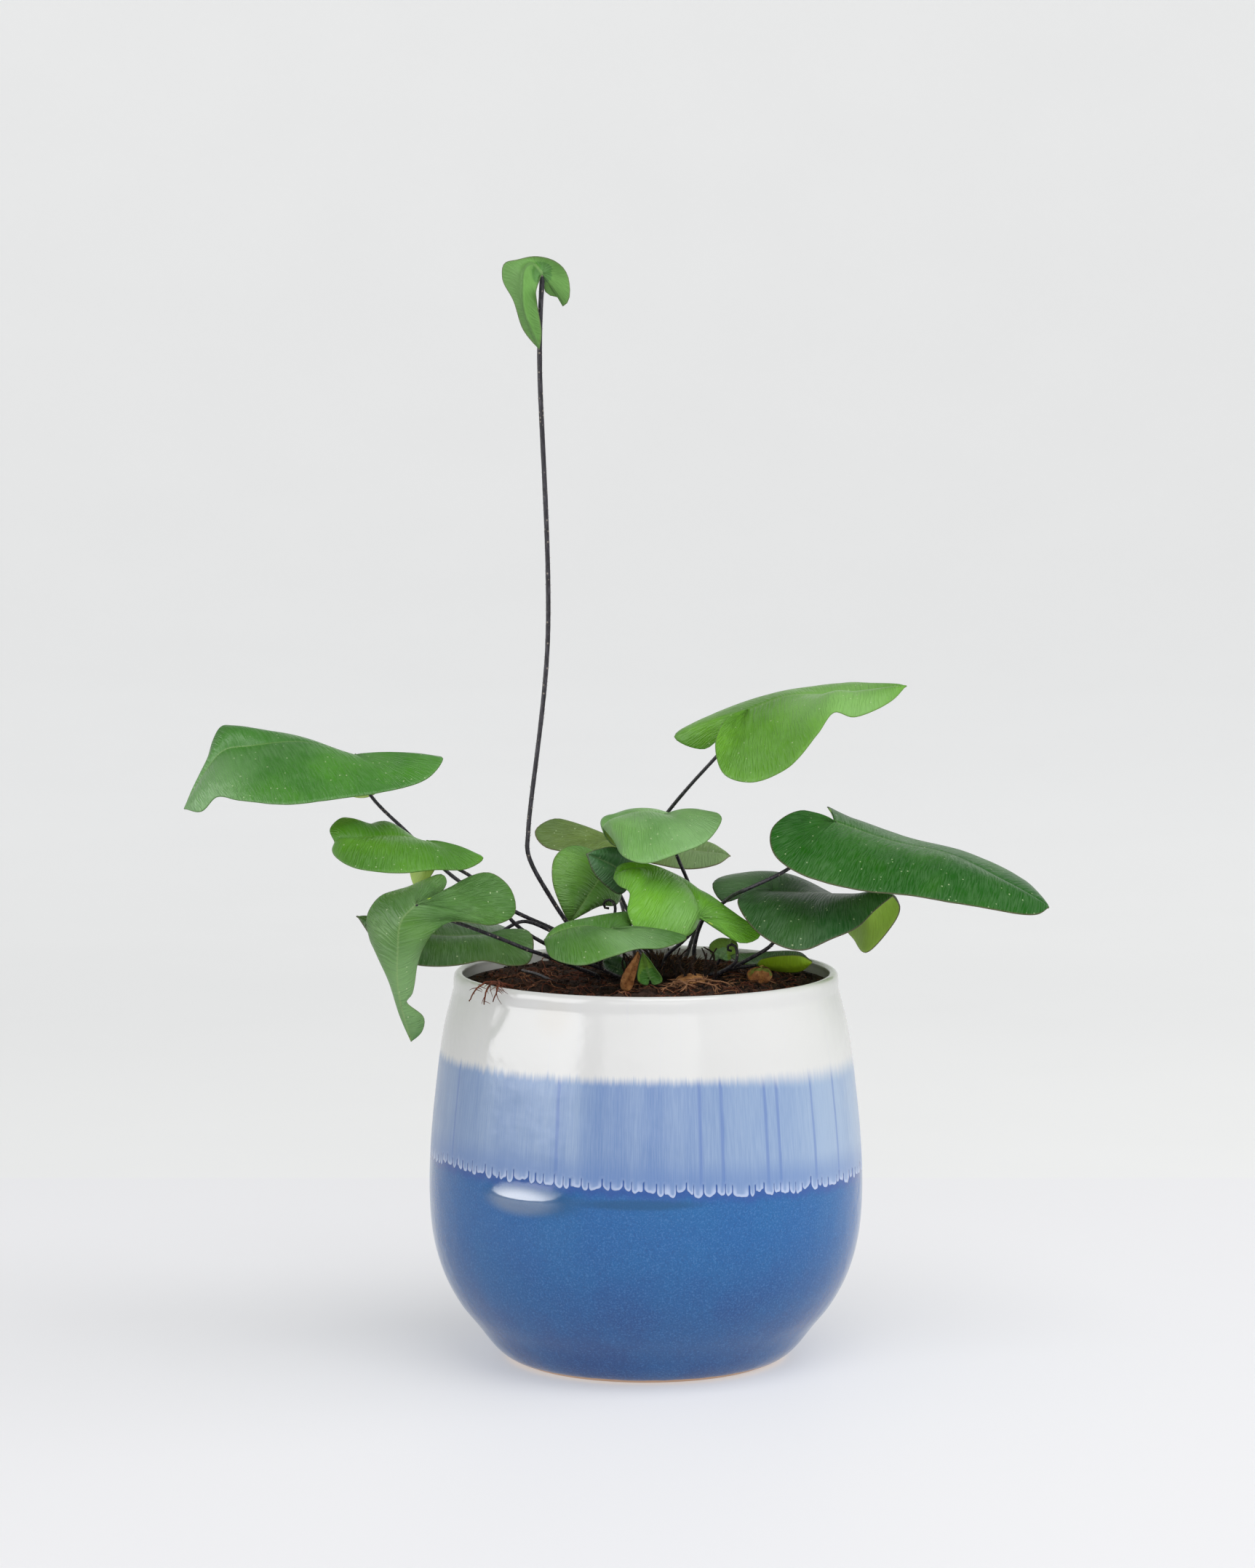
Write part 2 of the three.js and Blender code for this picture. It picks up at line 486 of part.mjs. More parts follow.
// The rhizome creeps along the soil: a knobbly bar, flat below, that the stalks rise through.
function rhizomeSolid(holes) {
  const geometry = new THREE.SphereGeometry(1, 18, 10);
  const place = geometry.attributes.position;
  const point = new THREE.Vector3();
  for (let i = 0; i < place.count; i += 1) {
    point.fromBufferAttribute(place, i);
    const knob = 1 + 0.07 * Math.sin(7 * point.x + 2) * Math.cos(5 * point.y) + 0.05 * Math.sin(9 * point.z);
    point.multiplyScalar(knob).multiply(RHIZOME_SIZE);
    place.setXYZ(i, point.x + CROWN.x, point.y + CROWN.y, point.z + SOIL_LEVEL + 1);
  }
  const below = new THREE.BoxGeometry(60, 60, 20);
  below.translate(CROWN.x, CROWN.y, SOIL_LEVEL + GAP - 10);
  const body = toSolid(geometry).subtract(toSolid(below));
  return holes.reduce((solid, hole) => solid.subtract(hole), body);
}

// ---------------------------------------------------------------- small pieces
// Young fronds that are still coiled and the stub of an old one: the points of each stalk.
const CROZIERS = [
  { name: 'crozier_left', foot: [-10, 19.5], middle: [-10.5, 20, 123], coil: 1.9 },
  { name: 'crozier_right', foot: [19, 3], middle: [23.5, -1, 113.6], coil: 1.5 },
];

function crozierLine({ foot, middle, coil }) {
  const turns = [];
  for (let i = 0; i < 6; i += 1) {
    const angle = (i * Math.PI) / 3.2;
    const radius = coil * (1 - 0.1 * i);
    turns.push([middle[0] + radius * Math.cos(angle), middle[1] + 0.25 * i,
      middle[2] + radius * Math.sin(angle)]);
  }
  const below = [middle[0] + coil * 0.9, middle[1], middle[2] - 3.5];
  return stalkLine(foot, [below, ...turns.slice(0, -1)], vector(turns[5]));
}

const OLD_STEM = [[-34.5, 15, 105.2], [-30.3, 5, 105.7], [-25.5, -6, 105.2]];

// Dead leaves, curled up and brown, on the soil.
const DRIED = [
  {
    name: 'dried_leaf_front', turn: 1, arch: [0.8, -0.6], lobe: [0.3, 0.3], cuts: [2, 6, 2],
    base: [-2.3, -21, 115.5], rib: [[-4, -21.5, 111.5], [-5.5, -21, 107.5]], tip: [-5, -20.5, 104.6],
    near: [[-3.2, -22, 114.4], [-5.8, -22.5, 110.5], [-7, -22, 107], [-6.4, -21, 105]],
    far: [[-1.8, -20, 114.4], [-2.6, -20, 110.5], [-3.4, -19.5, 107], [-4, -19.5, 105.2]],
  },
  {
    name: 'dried_leaf_right', turn: 1, arch: [1.2, 1.2], lobe: [0.3, 0.3], cuts: [3, 5, 2],
    base: [31.5, -7.5, 105.4], rib: [[30.8, -8.3, 107.4], [31.2, -8, 108.8]], tip: [32, -7.6, 110],
    near: [[29, -8.8, 105.8], [28, -9, 107.8], [29.4, -8.4, 109.4]],
    far: [[34, -8, 105.4], [34.8, -7, 107], [33.8, -7, 109]],
  },
  {
    name: 'dried_leaf_middle', turn: 1, arch: [0.8, 0.8], lobe: [0.3, 0.3], cuts: [3, 5, 2],
    base: [9, -4.5, 105.4], rib: [[12, -3.5, 106.4], [14.5, -2.5, 105.9]], tip: [17, -1.5, 104.9],
    near: [[9.5, -7.5, 105], [12.5, -8, 104.8], [15.5, -5.5, 104.8]],
    far: [[9, -1.8, 105], [11.5, 0, 105.2], [15, 0.6, 105]],
  },
];

// Roots: thin branches from one point, fused. Each branch is the list of points that it follows.
const ROOTS = [
  {
    name: 'root_sprig', radius: 0.45,
    branches: [
      [[-36, -29, 107], [-40, -31.5, 108.6], [-43.5, -34.5, 109], [-46, -37, 107], [-47.5, -38, 104.5]],
      [[-40, -31.5, 108.6], [-41.5, -35.5, 109], [-43, -38, 107], [-43.5, -40, 103.8]],
      [[-40, -31.5, 108.6], [-39.5, -36.5, 109.4], [-40, -40, 107.6], [-41, -41.8, 105]],
    ],
  },
  {
    name: 'root_tuft', radius: 0.4,
    branches: [
      [[10, -14, 105.7], [7.6, -18, 106.9], [6.5, -22, 106.4], [4, -26, 105.8]],
      [[10, -14, 105.7], [12, -18, 107.1], [17, -20, 106.6], [20, -25, 105.8]],
      [[10, -14, 105.7], [9, -19, 107.4], [11, -24, 106.8], [9, -30, 105.8]],
      [[10, -14, 105.7], [14, -13, 107], [19, -15, 106.6], [24, -14, 105.8]],
    ],
  },
];

function rootSolid({ radius, branches }) {
  return branches
    .map((points) => toSolid(bar(spline(points.map(vector)).getPoints(7), radius, 5)))
    .reduce((whole, branch) => whole.add(branch));
}

// ---------------------------------------------------------------- assembly
const plant = new THREE.Group();
const fronds = new THREE.Group();
const holes = [];

for (const frond of FRONDS) {
  const surface = bladeSurface(frond);
  const { geometry, normals } = thicken(surface, BLADE_THICKNESS);
  const base = vector(frond.base);
  const baseNormal = normals[surface.points.findIndex((point) => point.distanceTo(base) < 1e-6)];
  const drop = BLADE_THICKNESS / 2 + STALK_RADIUS + GAP + 0.1 - (frond.seat ?? 0);
  const below = base.addScaledVector(baseNormal, -drop);
  const line = stalkLine(frond.foot, frond.stalk, frond.top ? vector(frond.top) : below);
  fronds.add(named(`frond_${frond.name}_blade`, geometry, LEAF[frond.leaf]));
  fronds.add(named(`frond_${frond.name}_stalk`, bar(line, STALK_RADIUS, 6), STALK));
  holes.push(stalkHole(line));
}

for (const crozier of CROZIERS) {
  const line = crozierLine(crozier);
  fronds.add(named(crozier.name, bar(line, STALK_RADIUS, 6), STALK));
  holes.push(stalkHole(line));
}
fronds.add(named('old_stem', bar(spline(OLD_STEM.map(vector)).getPoints(8), 0.5, 6), STALK));

for (const leaf of DRIED) {
  fronds.add(named(leaf.name, thicken(bladeSurface(leaf), BLADE_THICKNESS).geometry, DRY));
}

const ground = new THREE.Group();
ground.add(named('pot', potGeometry(), GLAZE));
ground.add(named('soil', toGeometry(soilSolid(holes)), SOIL));
ground.add(named('rhizome', toGeometry(rhizomeSolid(holes)), BARK));
for (const root of ROOTS) ground.add(named(root.name, toGeometry(rootSolid(root)), ROOT));

plant.add(ground, fronds);
export default plant;
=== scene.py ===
import json
import math
import random

import bpy
import numpy as np
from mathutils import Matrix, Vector, noise


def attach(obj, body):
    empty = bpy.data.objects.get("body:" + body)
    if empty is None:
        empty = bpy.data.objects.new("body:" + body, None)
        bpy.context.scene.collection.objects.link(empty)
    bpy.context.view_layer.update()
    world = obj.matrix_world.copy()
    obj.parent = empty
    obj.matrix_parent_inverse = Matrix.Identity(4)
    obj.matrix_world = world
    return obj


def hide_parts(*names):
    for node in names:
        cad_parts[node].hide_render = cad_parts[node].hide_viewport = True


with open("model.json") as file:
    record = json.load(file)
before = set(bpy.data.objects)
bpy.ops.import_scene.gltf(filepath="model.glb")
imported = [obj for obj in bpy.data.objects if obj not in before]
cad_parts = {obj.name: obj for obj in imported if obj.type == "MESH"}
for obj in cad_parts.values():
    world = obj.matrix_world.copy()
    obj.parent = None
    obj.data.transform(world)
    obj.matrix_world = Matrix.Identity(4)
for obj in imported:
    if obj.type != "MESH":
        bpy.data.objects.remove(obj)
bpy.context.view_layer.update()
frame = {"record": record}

MM = 0.001                      # lengths are in millimetres, except the lamps' and the camera's

# ---- sizes
SOIL_LEVEL = 104.0              # top of the soil round the crown
SOIL_RELIEF = 1.1               # height of its lumps
HOLE_DEPTH = 4.0                # how deep each stalk stands in the soil
GAP = 0.3                       # from the soil to the pot's inside
CROWN = (3.0, 11.0)             # middle of the rhizome
RHIZOME_SIZE = (18.0, 8.5, 4.2)
BLADE_THICKNESS = 0.5
STALK_RADIUS = 0.6
STALK_TAPER = 0.78              # radius at the blade as a share of that at the foot
SEAT_DEPTH = 1.35               # how far under its blade a stalk's smooth line ends
SEAT_OVERLAP = 0.4              # how far under the blade's middle the stalk's thin end reaches
SHOULDER = 3                    # this close to its stalk a blade's underside is as its upper side
POT_RADIUS = 60.0
POT_HEIGHT = 107.6
POT_FOOT_RADIUS = 36.5
RIM_OUTER = 52.6
RIM_INNER = 50.6
FLOOR_THICKNESS = 7.0

# ---- how fine and how many
POT_SEGMENTS = 288
SOIL_SEGMENTS = 220
CRUMBS = 1500                   # loose bits on the soil
FIBRES = 420
SCALES = 700                    # chaffy scales on the rhizome
STUBS = 22                      # thin ends of old stalks on it
STUB_HAIRS = 26
HAIRS = 3.2                     # hairs on a stalk, per millimetre of its length

# Outer wall of the pot from the foot to the rim, and its inside from the rim to the floor.
POT_WALL = [
    [POT_FOOT_RADIUS, 0], [39.6, 1.4], [42.6, 4], [46.9, 9.5], [51.9, 15.8], [56.2, 24],
    [59, 34], [POT_RADIUS, 46], [59.6, 60], [58.2, 75], [56, 91.5], [RIM_OUTER + 0.6, 103],
]
POT_INSIDE = [
    [RIM_INNER + 0.3, 105.5], [51.4, 98], [53.4, 84], [55, 66], [55.4, 46], [53, 30], [47, 17],
    [37, FLOOR_THICKNESS + 1.5], [30, FLOOR_THICKNESS],
]

# Each frond: which way its upper side turns, how much each half arches, where each lobe's end lies
# along its margin, then the stalk's foot and points, and the blade's base, tip, midrib and margins.
FRONDS = [
    dict(name="tall", turn=1, arch=[1.2, 1.2], lobe=[0.15, 0.45], foot=[-12, 10],
         top=[-28.3, -3.1, 296.9], taper=1.15, base=[-28.5, -4, 299], tip=[-29, -5, 278.5],
         rib=[[-31, -6, 301.5], [-33, -8, 300], [-33.5, -9, 295], [-33, -8, 288.5]],
         stalk=[[-18, 9, 114], [-26, 5, 126.5], [-32.5, 2, 139.5], [-32.5, 2, 146], [-27, 1, 199],
             [-29, -3, 274.5], [-28.8, -2.6, 288]],
         near=[[-29, -5, 297.5], [-30, -7, 293.5], [-29.5, -6, 289.5], [-28.5, -5, 283]],
         far=[[-27.5, -2, 298], [-28, -1, 296], [-27, 0, 293.5], [-23, 1, 292], [-22.5, 1, 290],
             [-21, 0, 292.5], [-21.5, -1, 298.5], [-24.5, -4, 302], [-29.5, -5, 303.5], [-35, -5, 302.5],
             [-38.5, -4, 301.5], [-39, -3, 297.5], [-36, -4, 291.5], [-33.5, -5, 284], [-30.5, -5, 280]]),
    dict(name="left_high", turn=-1, arch=[1.7, 2.2], lobe=[0.42, 0.42], foot=[-4, 14], seat=0.15,
         base=[-80.5, 6, 166.8], tip=[-127, -3, 152.8],
         rib=[[-95, 8, 170.2], [-109.5, 8, 169], [-116.5, 6, 168], [-121.5, 2, 162.5]],
         stalk=[[-14, 16, 111], [-26, 12, 117.5], [-36, 9, 122.5], [-52, 9, 131.3], [-66.4, 14, 144.2],
             [-77, 10, 156]],
         near=[[-69, 4, 161.6], [-56, -2, 166.9], [-59.5, -10, 162], [-68.5, -13, 159], [-82.5, -16, 157],
             [-97, -18, 155.5], [-110.5, -13, 156], [-117.5, -8.5, 156.5], [-121.5, -8, 152.6]],
         far=[[-74, 14, 157.5], [-80, 24, 153], [-92, 32, 157], [-101.5, 30, 165.8], [-110.5, 24, 170.2],
             [-118, 13, 174], [-122, 6, 163.5]]),
    dict(name="left_mid", turn=-1, arch=[2.2, 1.5], lobe=[0.42, 0.45], foot=[-8.5, 6],
         base=[-60, -10, 144.5], tip=[-85, -12, 144.5], rib=[[-67.5, -9, 145.8], [-77, -10, 145.5]],
         stalk=[[-17.5, 4, 109.5], [-28, 0, 115], [-34.5, -3, 119.5], [-39.5, -6, 125], [-47.5, -7, 134],
             [-54.5, -8, 138.5]],
         near=[[-51.5, -11, 142.5], [-44.5, -14, 140.5], [-49, -20, 138], [-57.5, -26, 138.5],
             [-66.5, -29, 138], [-78, -27, 139], [-85, -18, 142]],
         far=[[-58, -2, 136.5], [-63.5, 5, 130], [-66.5, 12, 136.5], [-69.5, 10, 143.6],
             [-73.2, 6, 148.1], [-77.8, 4, 147.2], [-83, 0, 150], [-86.5, -8, 147.5]]),
    dict(name="front_left", turn=1, arch=[1.2, 1.2], lobe=[0.38, 0.45], foot=[-13, 2],
         base=[-61.5, -41, 131], tip=[-63.5, -32, 92.5],
         rib=[[-65.5, -42, 126.5], [-66.5, -41, 118], [-66.5, -38, 107]],
         stalk=[[-18, -5, 108.5], [-26.2, -15, 113.2], [-32.5, -19.5, 116], [-39, -22.5, 119.1],
             [-50.5, -30, 124.5], [-57, -35.5, 127.3]],
         near=[[-56.5, -34, 132], [-54, -26, 135.5], [-55.5, -24, 137], [-64.5, -28, 134],
             [-71.5, -31, 132], [-75, -33, 127], [-74, -34, 120], [-69, -34, 110.5], [-66.5, -33, 101]],
         far=[[-55.5, -38, 132.5], [-48.5, -33, 137], [-42, -29, 138], [-36.5, -26, 133],
             [-35.5, -28, 127], [-41, -33, 124.5], [-52.5, -39, 126], [-58, -39, 122],
             [-61.5, -37, 114.5], [-63, -35, 106], [-64.5, -35, 104], [-60, -32, 99],
             [-60.5, -32, 95.5]]),
    dict(name="left_low", turn=-1, arch=[2, 1], lobe=[0.42, 0.42], foot=[-7.5, 11],
         top=[-41.4, -6, 117.4], base=[-43, -8, 118.5], tip=[-79, -14, 124.5],
         rib=[[-55.5, -10, 118.5], [-67.5, -11, 120.5]],
         stalk=[[-17, 6.5, 111.5], [-26.5, 4, 118], [-33.5, 1, 121], [-38, -2.8, 119.8]],
         near=[[-33.5, -8, 120], [-31, -12, 118], [-32, -17, 112], [-37, -20, 111.5], [-44, -21, 113],
             [-51, -22, 112], [-62, -22, 112], [-71, -19, 115]],
         far=[[-40, 0, 118], [-39, 10, 118], [-46.5, 15, 119.5], [-54.5, 12, 121], [-64, 4, 122]]),
    dict(name="back", turn=1, arch=[2, 2], lobe=[0.5, 0.35], foot=[3, 21], seat=0.4, base=[-8, 50, 137.5],
         tip=[24.5, 52, 133.5], rib=[[2.5, 53, 136], [14.5, 54, 134.5]],
         stalk=[[-3, 30, 110.5], [-7, 40, 122], [-9, 48, 131.5]],
         near=[[-18, 54, 141.5], [-26, 53, 144], [-31.5, 50, 141], [-29, 45, 137], [-18, 42, 135],
             [-3.5, 42, 133.5], [12, 44, 130.5], [20.5, 47, 131.5]],
         far=[[-11, 63, 138.5], [-5.5, 68, 139], [7, 66, 137.5], [19.5, 58, 136]]),
    dict(name="back_left", turn=1, arch=[1.6, 1.2], lobe=[0.42, 0.42], foot=[1, 17.5], seat=0.15,
         base=[-11.5, 24, 132.5], tip=[-21.5, 17, 118.5], rib=[[-15, 21, 127.5], [-19, 18, 122]],
         stalk=[[0, 25, 110.5], [-4, 34, 117.5], [-8.5, 34, 127]],
         near=[[-15, 26, 138], [-21, 24, 139.5], [-25.5, 19, 136.5], [-26, 16, 130.5], [-23.5, 15, 123]],
         far=[[-9.5, 28, 134], [-7, 30, 133.5], [-6.5, 30, 128], [-8, 28, 122.5], [-13, 23, 122.5],
             [-18, 19, 120.5]]),
    dict(name="inner_dark", turn=-1, arch=[1.2, 1.2], lobe=[0.4, 0.4], foot=[1, 12.5],
         base=[-5, 14, 132.5], tip=[-16.5, 8, 139], rib=[[-10.5, 11, 136]],
         stalk=[[1.5, 13.5, 113], [0.5, 15.5, 122], [-2, 16, 129]],
         near=[[-4.5, 12, 130], [-7, 10, 127.5], [-11, 8, 130], [-14.5, 7, 134]],
         far=[[-2.5, 18, 133.5], [-3, 20, 137.5], [-8.5, 15, 140], [-13.5, 10, 140]]),
    dict(name="top_centre", turn=-1, arch=[3, 5], lobe=[0.42, 0.4], foot=[10, 18], seat=0.1,
         base=[5, 12, 149.4], tip=[-12, 10, 146.2], rib=[[-0.5, 12, 150.5], [-6.5, 12, 149.2]],
         stalk=[[12.5, 22, 111.5], [15, 26, 120], [12, 24, 129], [8.5, 17, 138]],
         near=[[13.3, 9, 148.4], [18.3, 5, 150.8], [20.8, 0, 149.6], [16.5, -6, 144], [8.5, -10, 141],
             [-0.5, -11, 138.5], [-6, -8, 140], [-9, 2, 143.5]],
         far=[[7.5, 16, 143], [8.5, 22, 140.5], [1.5, 26, 140], [-5, 24, 140], [-8.5, 19, 140],
             [-11, 14, 143]]),
    dict(name="centre", turn=-1, arch=[3.5, 1.5], lobe=[0.15, 0.45], foot=[4.5, 6.5], seat=0.5,
         base=[14.5, -6, 123], tip=[-9, -3, 133.5], rib=[[13.5, -3, 128], [9.5, 1, 132.5], [1.5, 3, 136]],
         stalk=[[5.5, 4, 110.5], [10.5, -1, 116], [13.5, -2.5, 119.5]],
         near=[[13.5, -11, 120.5], [10.5, -16, 119], [3.5, -19, 120], [-2, -18, 120.5], [-5, -15, 125.5],
             [-4.5, -11, 130.5], [-7.5, -7, 132]],
         far=[[19.5, -9, 120], [26.5, -11, 116.5], [31.5, -7, 118.5], [24.5, -4, 123.8], [16, 4, 128.8],
             [5.5, 16, 130.5], [-4, 12, 133.5], [-7.5, 5, 136]]),
    dict(name="front_low", turn=-1, arch=[1.6, 1.2], lobe=[0.42, 0.42], foot=[-6, -3], seat=0.6,
         base=[-10, -18, 121], tip=[-27.8, -22, 119], rib=[[-16, -18, 122.2], [-22.5, -18.5, 121.2]],
         stalk=[[-9, -9, 107.5], [-12.5, -13.5, 110.5], [-12, -16, 114]],
         near=[[-3, -18.5, 122], [11, -25, 120], [4.5, -28, 117.5], [-2.5, -30.5, 117.5],
             [-9.5, -33, 115.8], [-17.5, -34, 113.6], [-25.5, -29, 115]],
         far=[[-4, -14, 122], [-3, -7.5, 124.6], [-9.5, -5, 124], [-17, -8, 122.3], [-24.5, -15, 121]]),
    dict(name="right_low", turn=1, arch=[3.5, 3.5], lobe=[0.3, 0.35], foot=[15.5, 6], seat=0.5,
         base=[35, -1, 129.5], tip=[67.5, -13, 130], rib=[[45.5, -3, 129.5], [58.5, -7, 129.5]],
         stalk=[[20.5, 6, 106], [28.5, 1, 110.5], [35.5, -2, 116], [36.5, 0, 123]],
         near=[[29, -3.5, 130.3], [25.2, -9, 128.2], [28, -18, 123], [34.5, -26, 118.5], [42, -29, 117],
             [49.5, -30, 120], [56.5, -26, 122.5], [62.5, -19, 127]],
         far=[[27.5, 2, 128], [21.5, 4, 126], [18.5, 8, 130.5], [25, 15, 132.5], [36.5, 23, 130.5],
             [47.5, 27, 124], [57.5, 17, 115], [61, 7, 111.5], [67.5, -3, 120], [69.5, -9, 126]]),
    dict(name="right_long", turn=1, arch=[3, 1], lobe=[0.36, 0.15], foot=[14, 13], base=[52, -2, 149],
         tip=[109.5, -19, 127.5], rib=[[67.5, -5, 144], [84, -9, 140.5], [98.5, -15, 133.5]],
         stalk=[[13.5, 12, 112], [16, 10, 120.5], [21, 2, 125.8], [24.3, -7.5, 129.5], [28.7, -13, 132.2],
             [38.5, -14.5, 137.3], [47, -8, 143.5]],
         near=[[42.5, -6, 152.5], [34.5, -13, 148.5], [34.5, -21, 142.5], [40.5, -27, 138],
             [55, -31, 134], [70.5, -34, 132.5], [88, -33, 129.5], [105.5, -23, 126]],
         far=[[51, 5, 151.5], [50.5, 9, 152], [59.5, 18, 147], [75, 24, 141], [92, 18, 137],
             [105, 2, 132]]),
    dict(name="right_high", turn=1, arch=[3.2, 1], lobe=[0.4, 0.42], foot=[-2.5, 21.5],
         base=[28.5, 10, 179], tip=[71.5, 0, 186.5], rib=[[39.5, 9, 183], [54.5, 7, 183.5]],
         stalk=[[-3.5, 24.5, 111], [-4.5, 27, 117.5], [-4, 30.5, 124], [-2.5, 33, 131], [-0.5, 32, 139],
             [6.5, 27, 149], [12.5, 20, 157], [19.5, 13, 165.5], [25, 11.5, 172]],
         near=[[22.5, 3, 177.5], [19, -6, 170.5], [21.5, -13, 163], [29, -17, 161.5], [39, -18, 166],
             [46.5, -16, 174.5], [51.5, -10, 180], [56.5, -9, 178.5], [67, -4, 182.5]],
         far=[[22.5, 15, 173.5], [16.5, 17, 167.5], [8, 20, 170.5], [20, 28, 176.5], [36.5, 29, 181.5],
             [53, 19, 185.5], [66.5, 6, 186.5]]),
    dict(name="right_small", turn=1, arch=[-1, -1], lobe=[0.3, 0.42], foot=[20.5, 13],
         base=[31, 10, 107.5], tip=[45.5, -4, 110.5], rib=[[37, 5, 106.8], [42.5, 0, 107.5]],
         stalk=[[24, 12.5, 106.2]],
         near=[[32, 4, 110], [38.5, -2, 112], [43, -4, 112]],
         far=[[25.5, 15, 108], [24, 20, 109], [33, 19, 110], [42, 9, 111.5]]),
    dict(name="back_small", turn=1, arch=[1, 1], lobe=[0.3, 0.3], foot=[20, 24.5],
         top=[20.4, 23.9, 106.3], base=[21, 22, 108], tip=[24, 25, 113], rib=[[22.5, 23, 110]],
         stalk=[],
         near=[[19.5, 24, 107], [18, 24, 111], [20.5, 25, 113]],
         far=[[23.5, 24, 107], [26, 27, 110], [25.5, 26, 112]]),
    dict(name="shaded_small", turn=-1, arch=[1, 1], lobe=[0.4, 0.4], foot=[-4.5, 0],
         top=[-5.8, 0.2, 106.4], base=[-6.8, 0, 107.4], tip=[-12, 0.5, 109.8], rib=[[-9, 0, 108.4]],
         stalk=[],
         near=[[-6, -1.2, 106.6], [-8, -2, 106.3], [-11, -1.5, 107.4]],
         far=[[-5.6, 2, 108.5], [-7, 2.5, 111], [-10, 2, 111.5]]),
    dict(name="young_front", turn=1, arch=[0.6, 0.6], lobe=[0.4, 0.4], foot=[1.2, -13],
         top=[1.1, -15.5, 106.9], base=[1, -16.4, 107.6], tip=[-1, -20, 115.5], rib=[[0, -17.5, 111]],
         stalk=[],
         near=[[0.3, -17.2, 105.9], [-2.2, -18.2, 107.2], [-2, -19, 111.5]],
         far=[[1.9, -16.9, 105.9], [4.4, -17.2, 107], [2, -18.5, 111.5]]),
]

CROZIERS = [
    dict(name="crozier_left", coil=1.9, foot=[-10, 19.5], middle=[-10.5, 20, 123]),
    dict(name="crozier_right", coil=1.5, foot=[19, 3], middle=[23.5, -1, 113.6]),
]

DRIED = [
    dict(name="dried_leaf_front", turn=1, arch=[0.8, -0.6], lobe=[0.3, 0.3], base=[-2.3, -21, 115.5],
         tip=[-5, -20.5, 104.6], rib=[[-4, -21.5, 111.5], [-5.5, -21, 107.5]],
         near=[[-3.2, -22, 114.4], [-5.8, -22.5, 110.5], [-7, -22, 107], [-6.4, -21, 105]],
         far=[[-1.8, -20, 114.4], [-2.6, -20, 110.5], [-3.4, -19.5, 107], [-4, -19.5, 105.2]]),
    dict(name="dried_leaf_right", turn=1, arch=[1.2, 1.2], lobe=[0.3, 0.3], base=[31.5, -7.5, 105.4],
         tip=[32, -7.6, 110], rib=[[30.8, -8.3, 107.4], [31.2, -8, 108.8]],
         near=[[29, -8.8, 105.8], [28, -9, 107.8], [29.4, -8.4, 109.4]],
         far=[[34, -8, 105.4], [34.8, -7, 107], [33.8, -7, 109]]),
    dict(name="dried_leaf_middle", turn=1, arch=[0.8, 0.8], lobe=[0.3, 0.3], base=[9, -4.5, 105.4],
         tip=[17, -1.5, 104.9], rib=[[12, -3.5, 106.4], [14.5, -2.5, 105.9]],
         near=[[9.5, -7.5, 105], [12.5, -8, 104.8], [15.5, -5.5, 104.8]],
         far=[[9, -1.8, 105], [11.5, 0, 105.2], [15, 0.6, 105]]),
]

ROOTS = [
    dict(
        name="root_sprig", radius=0.45, twigs=11,
        branches=[
            [[-36, -29, 107], [-40, -31.5, 108.6], [-43.5, -34.5, 109], [-46, -37, 107],
             [-47.5, -38, 104.5]],
            [[-40, -31.5, 108.6], [-41.5, -35.5, 109], [-43, -38, 107], [-43.5, -40, 103.8]],
            [[-40, -31.5, 108.6], [-39.5, -36.5, 109.4], [-40, -40, 107.6], [-41, -41.8, 105]],
        ],
    ),
    dict(
        name="root_tuft", radius=0.4, twigs=17,
        branches=[
            [[10, -14, 105.7], [7.6, -18, 106.9], [6.5, -22, 106.4], [4, -26, 105.8]],
            [[10, -14, 105.7], [12, -18, 107.1], [17, -20, 106.6], [20, -25, 105.8]],
            [[10, -14, 105.7], [9, -19, 107.4], [11, -24, 106.8], [9, -30, 105.8]],
            [[10, -14, 105.7], [14, -13, 107], [19, -15, 106.6], [24, -14, 105.8]],
        ],
    ),
]

OLD_STEM = [[-34.5, 15, 105.2], [-30.3, 5, 105.7], [-25.5, -6, 105.2]]


# ---- colours
def srgb(text):
    """A linear colour from six hex digits."""
    parts = [int(text[i:i + 2], 16) / 255 for i in (0, 2, 4)]
    return [c / 12.92 if c < 0.04045 else ((c + 0.055) / 1.055) ** 2.4 for c in parts]


def dim(colour, share):
    return [share * c for c in colour]


def toward(colour, other, share):
    return [(1 - share) * a + share * b for a, b in zip(colour, other)]


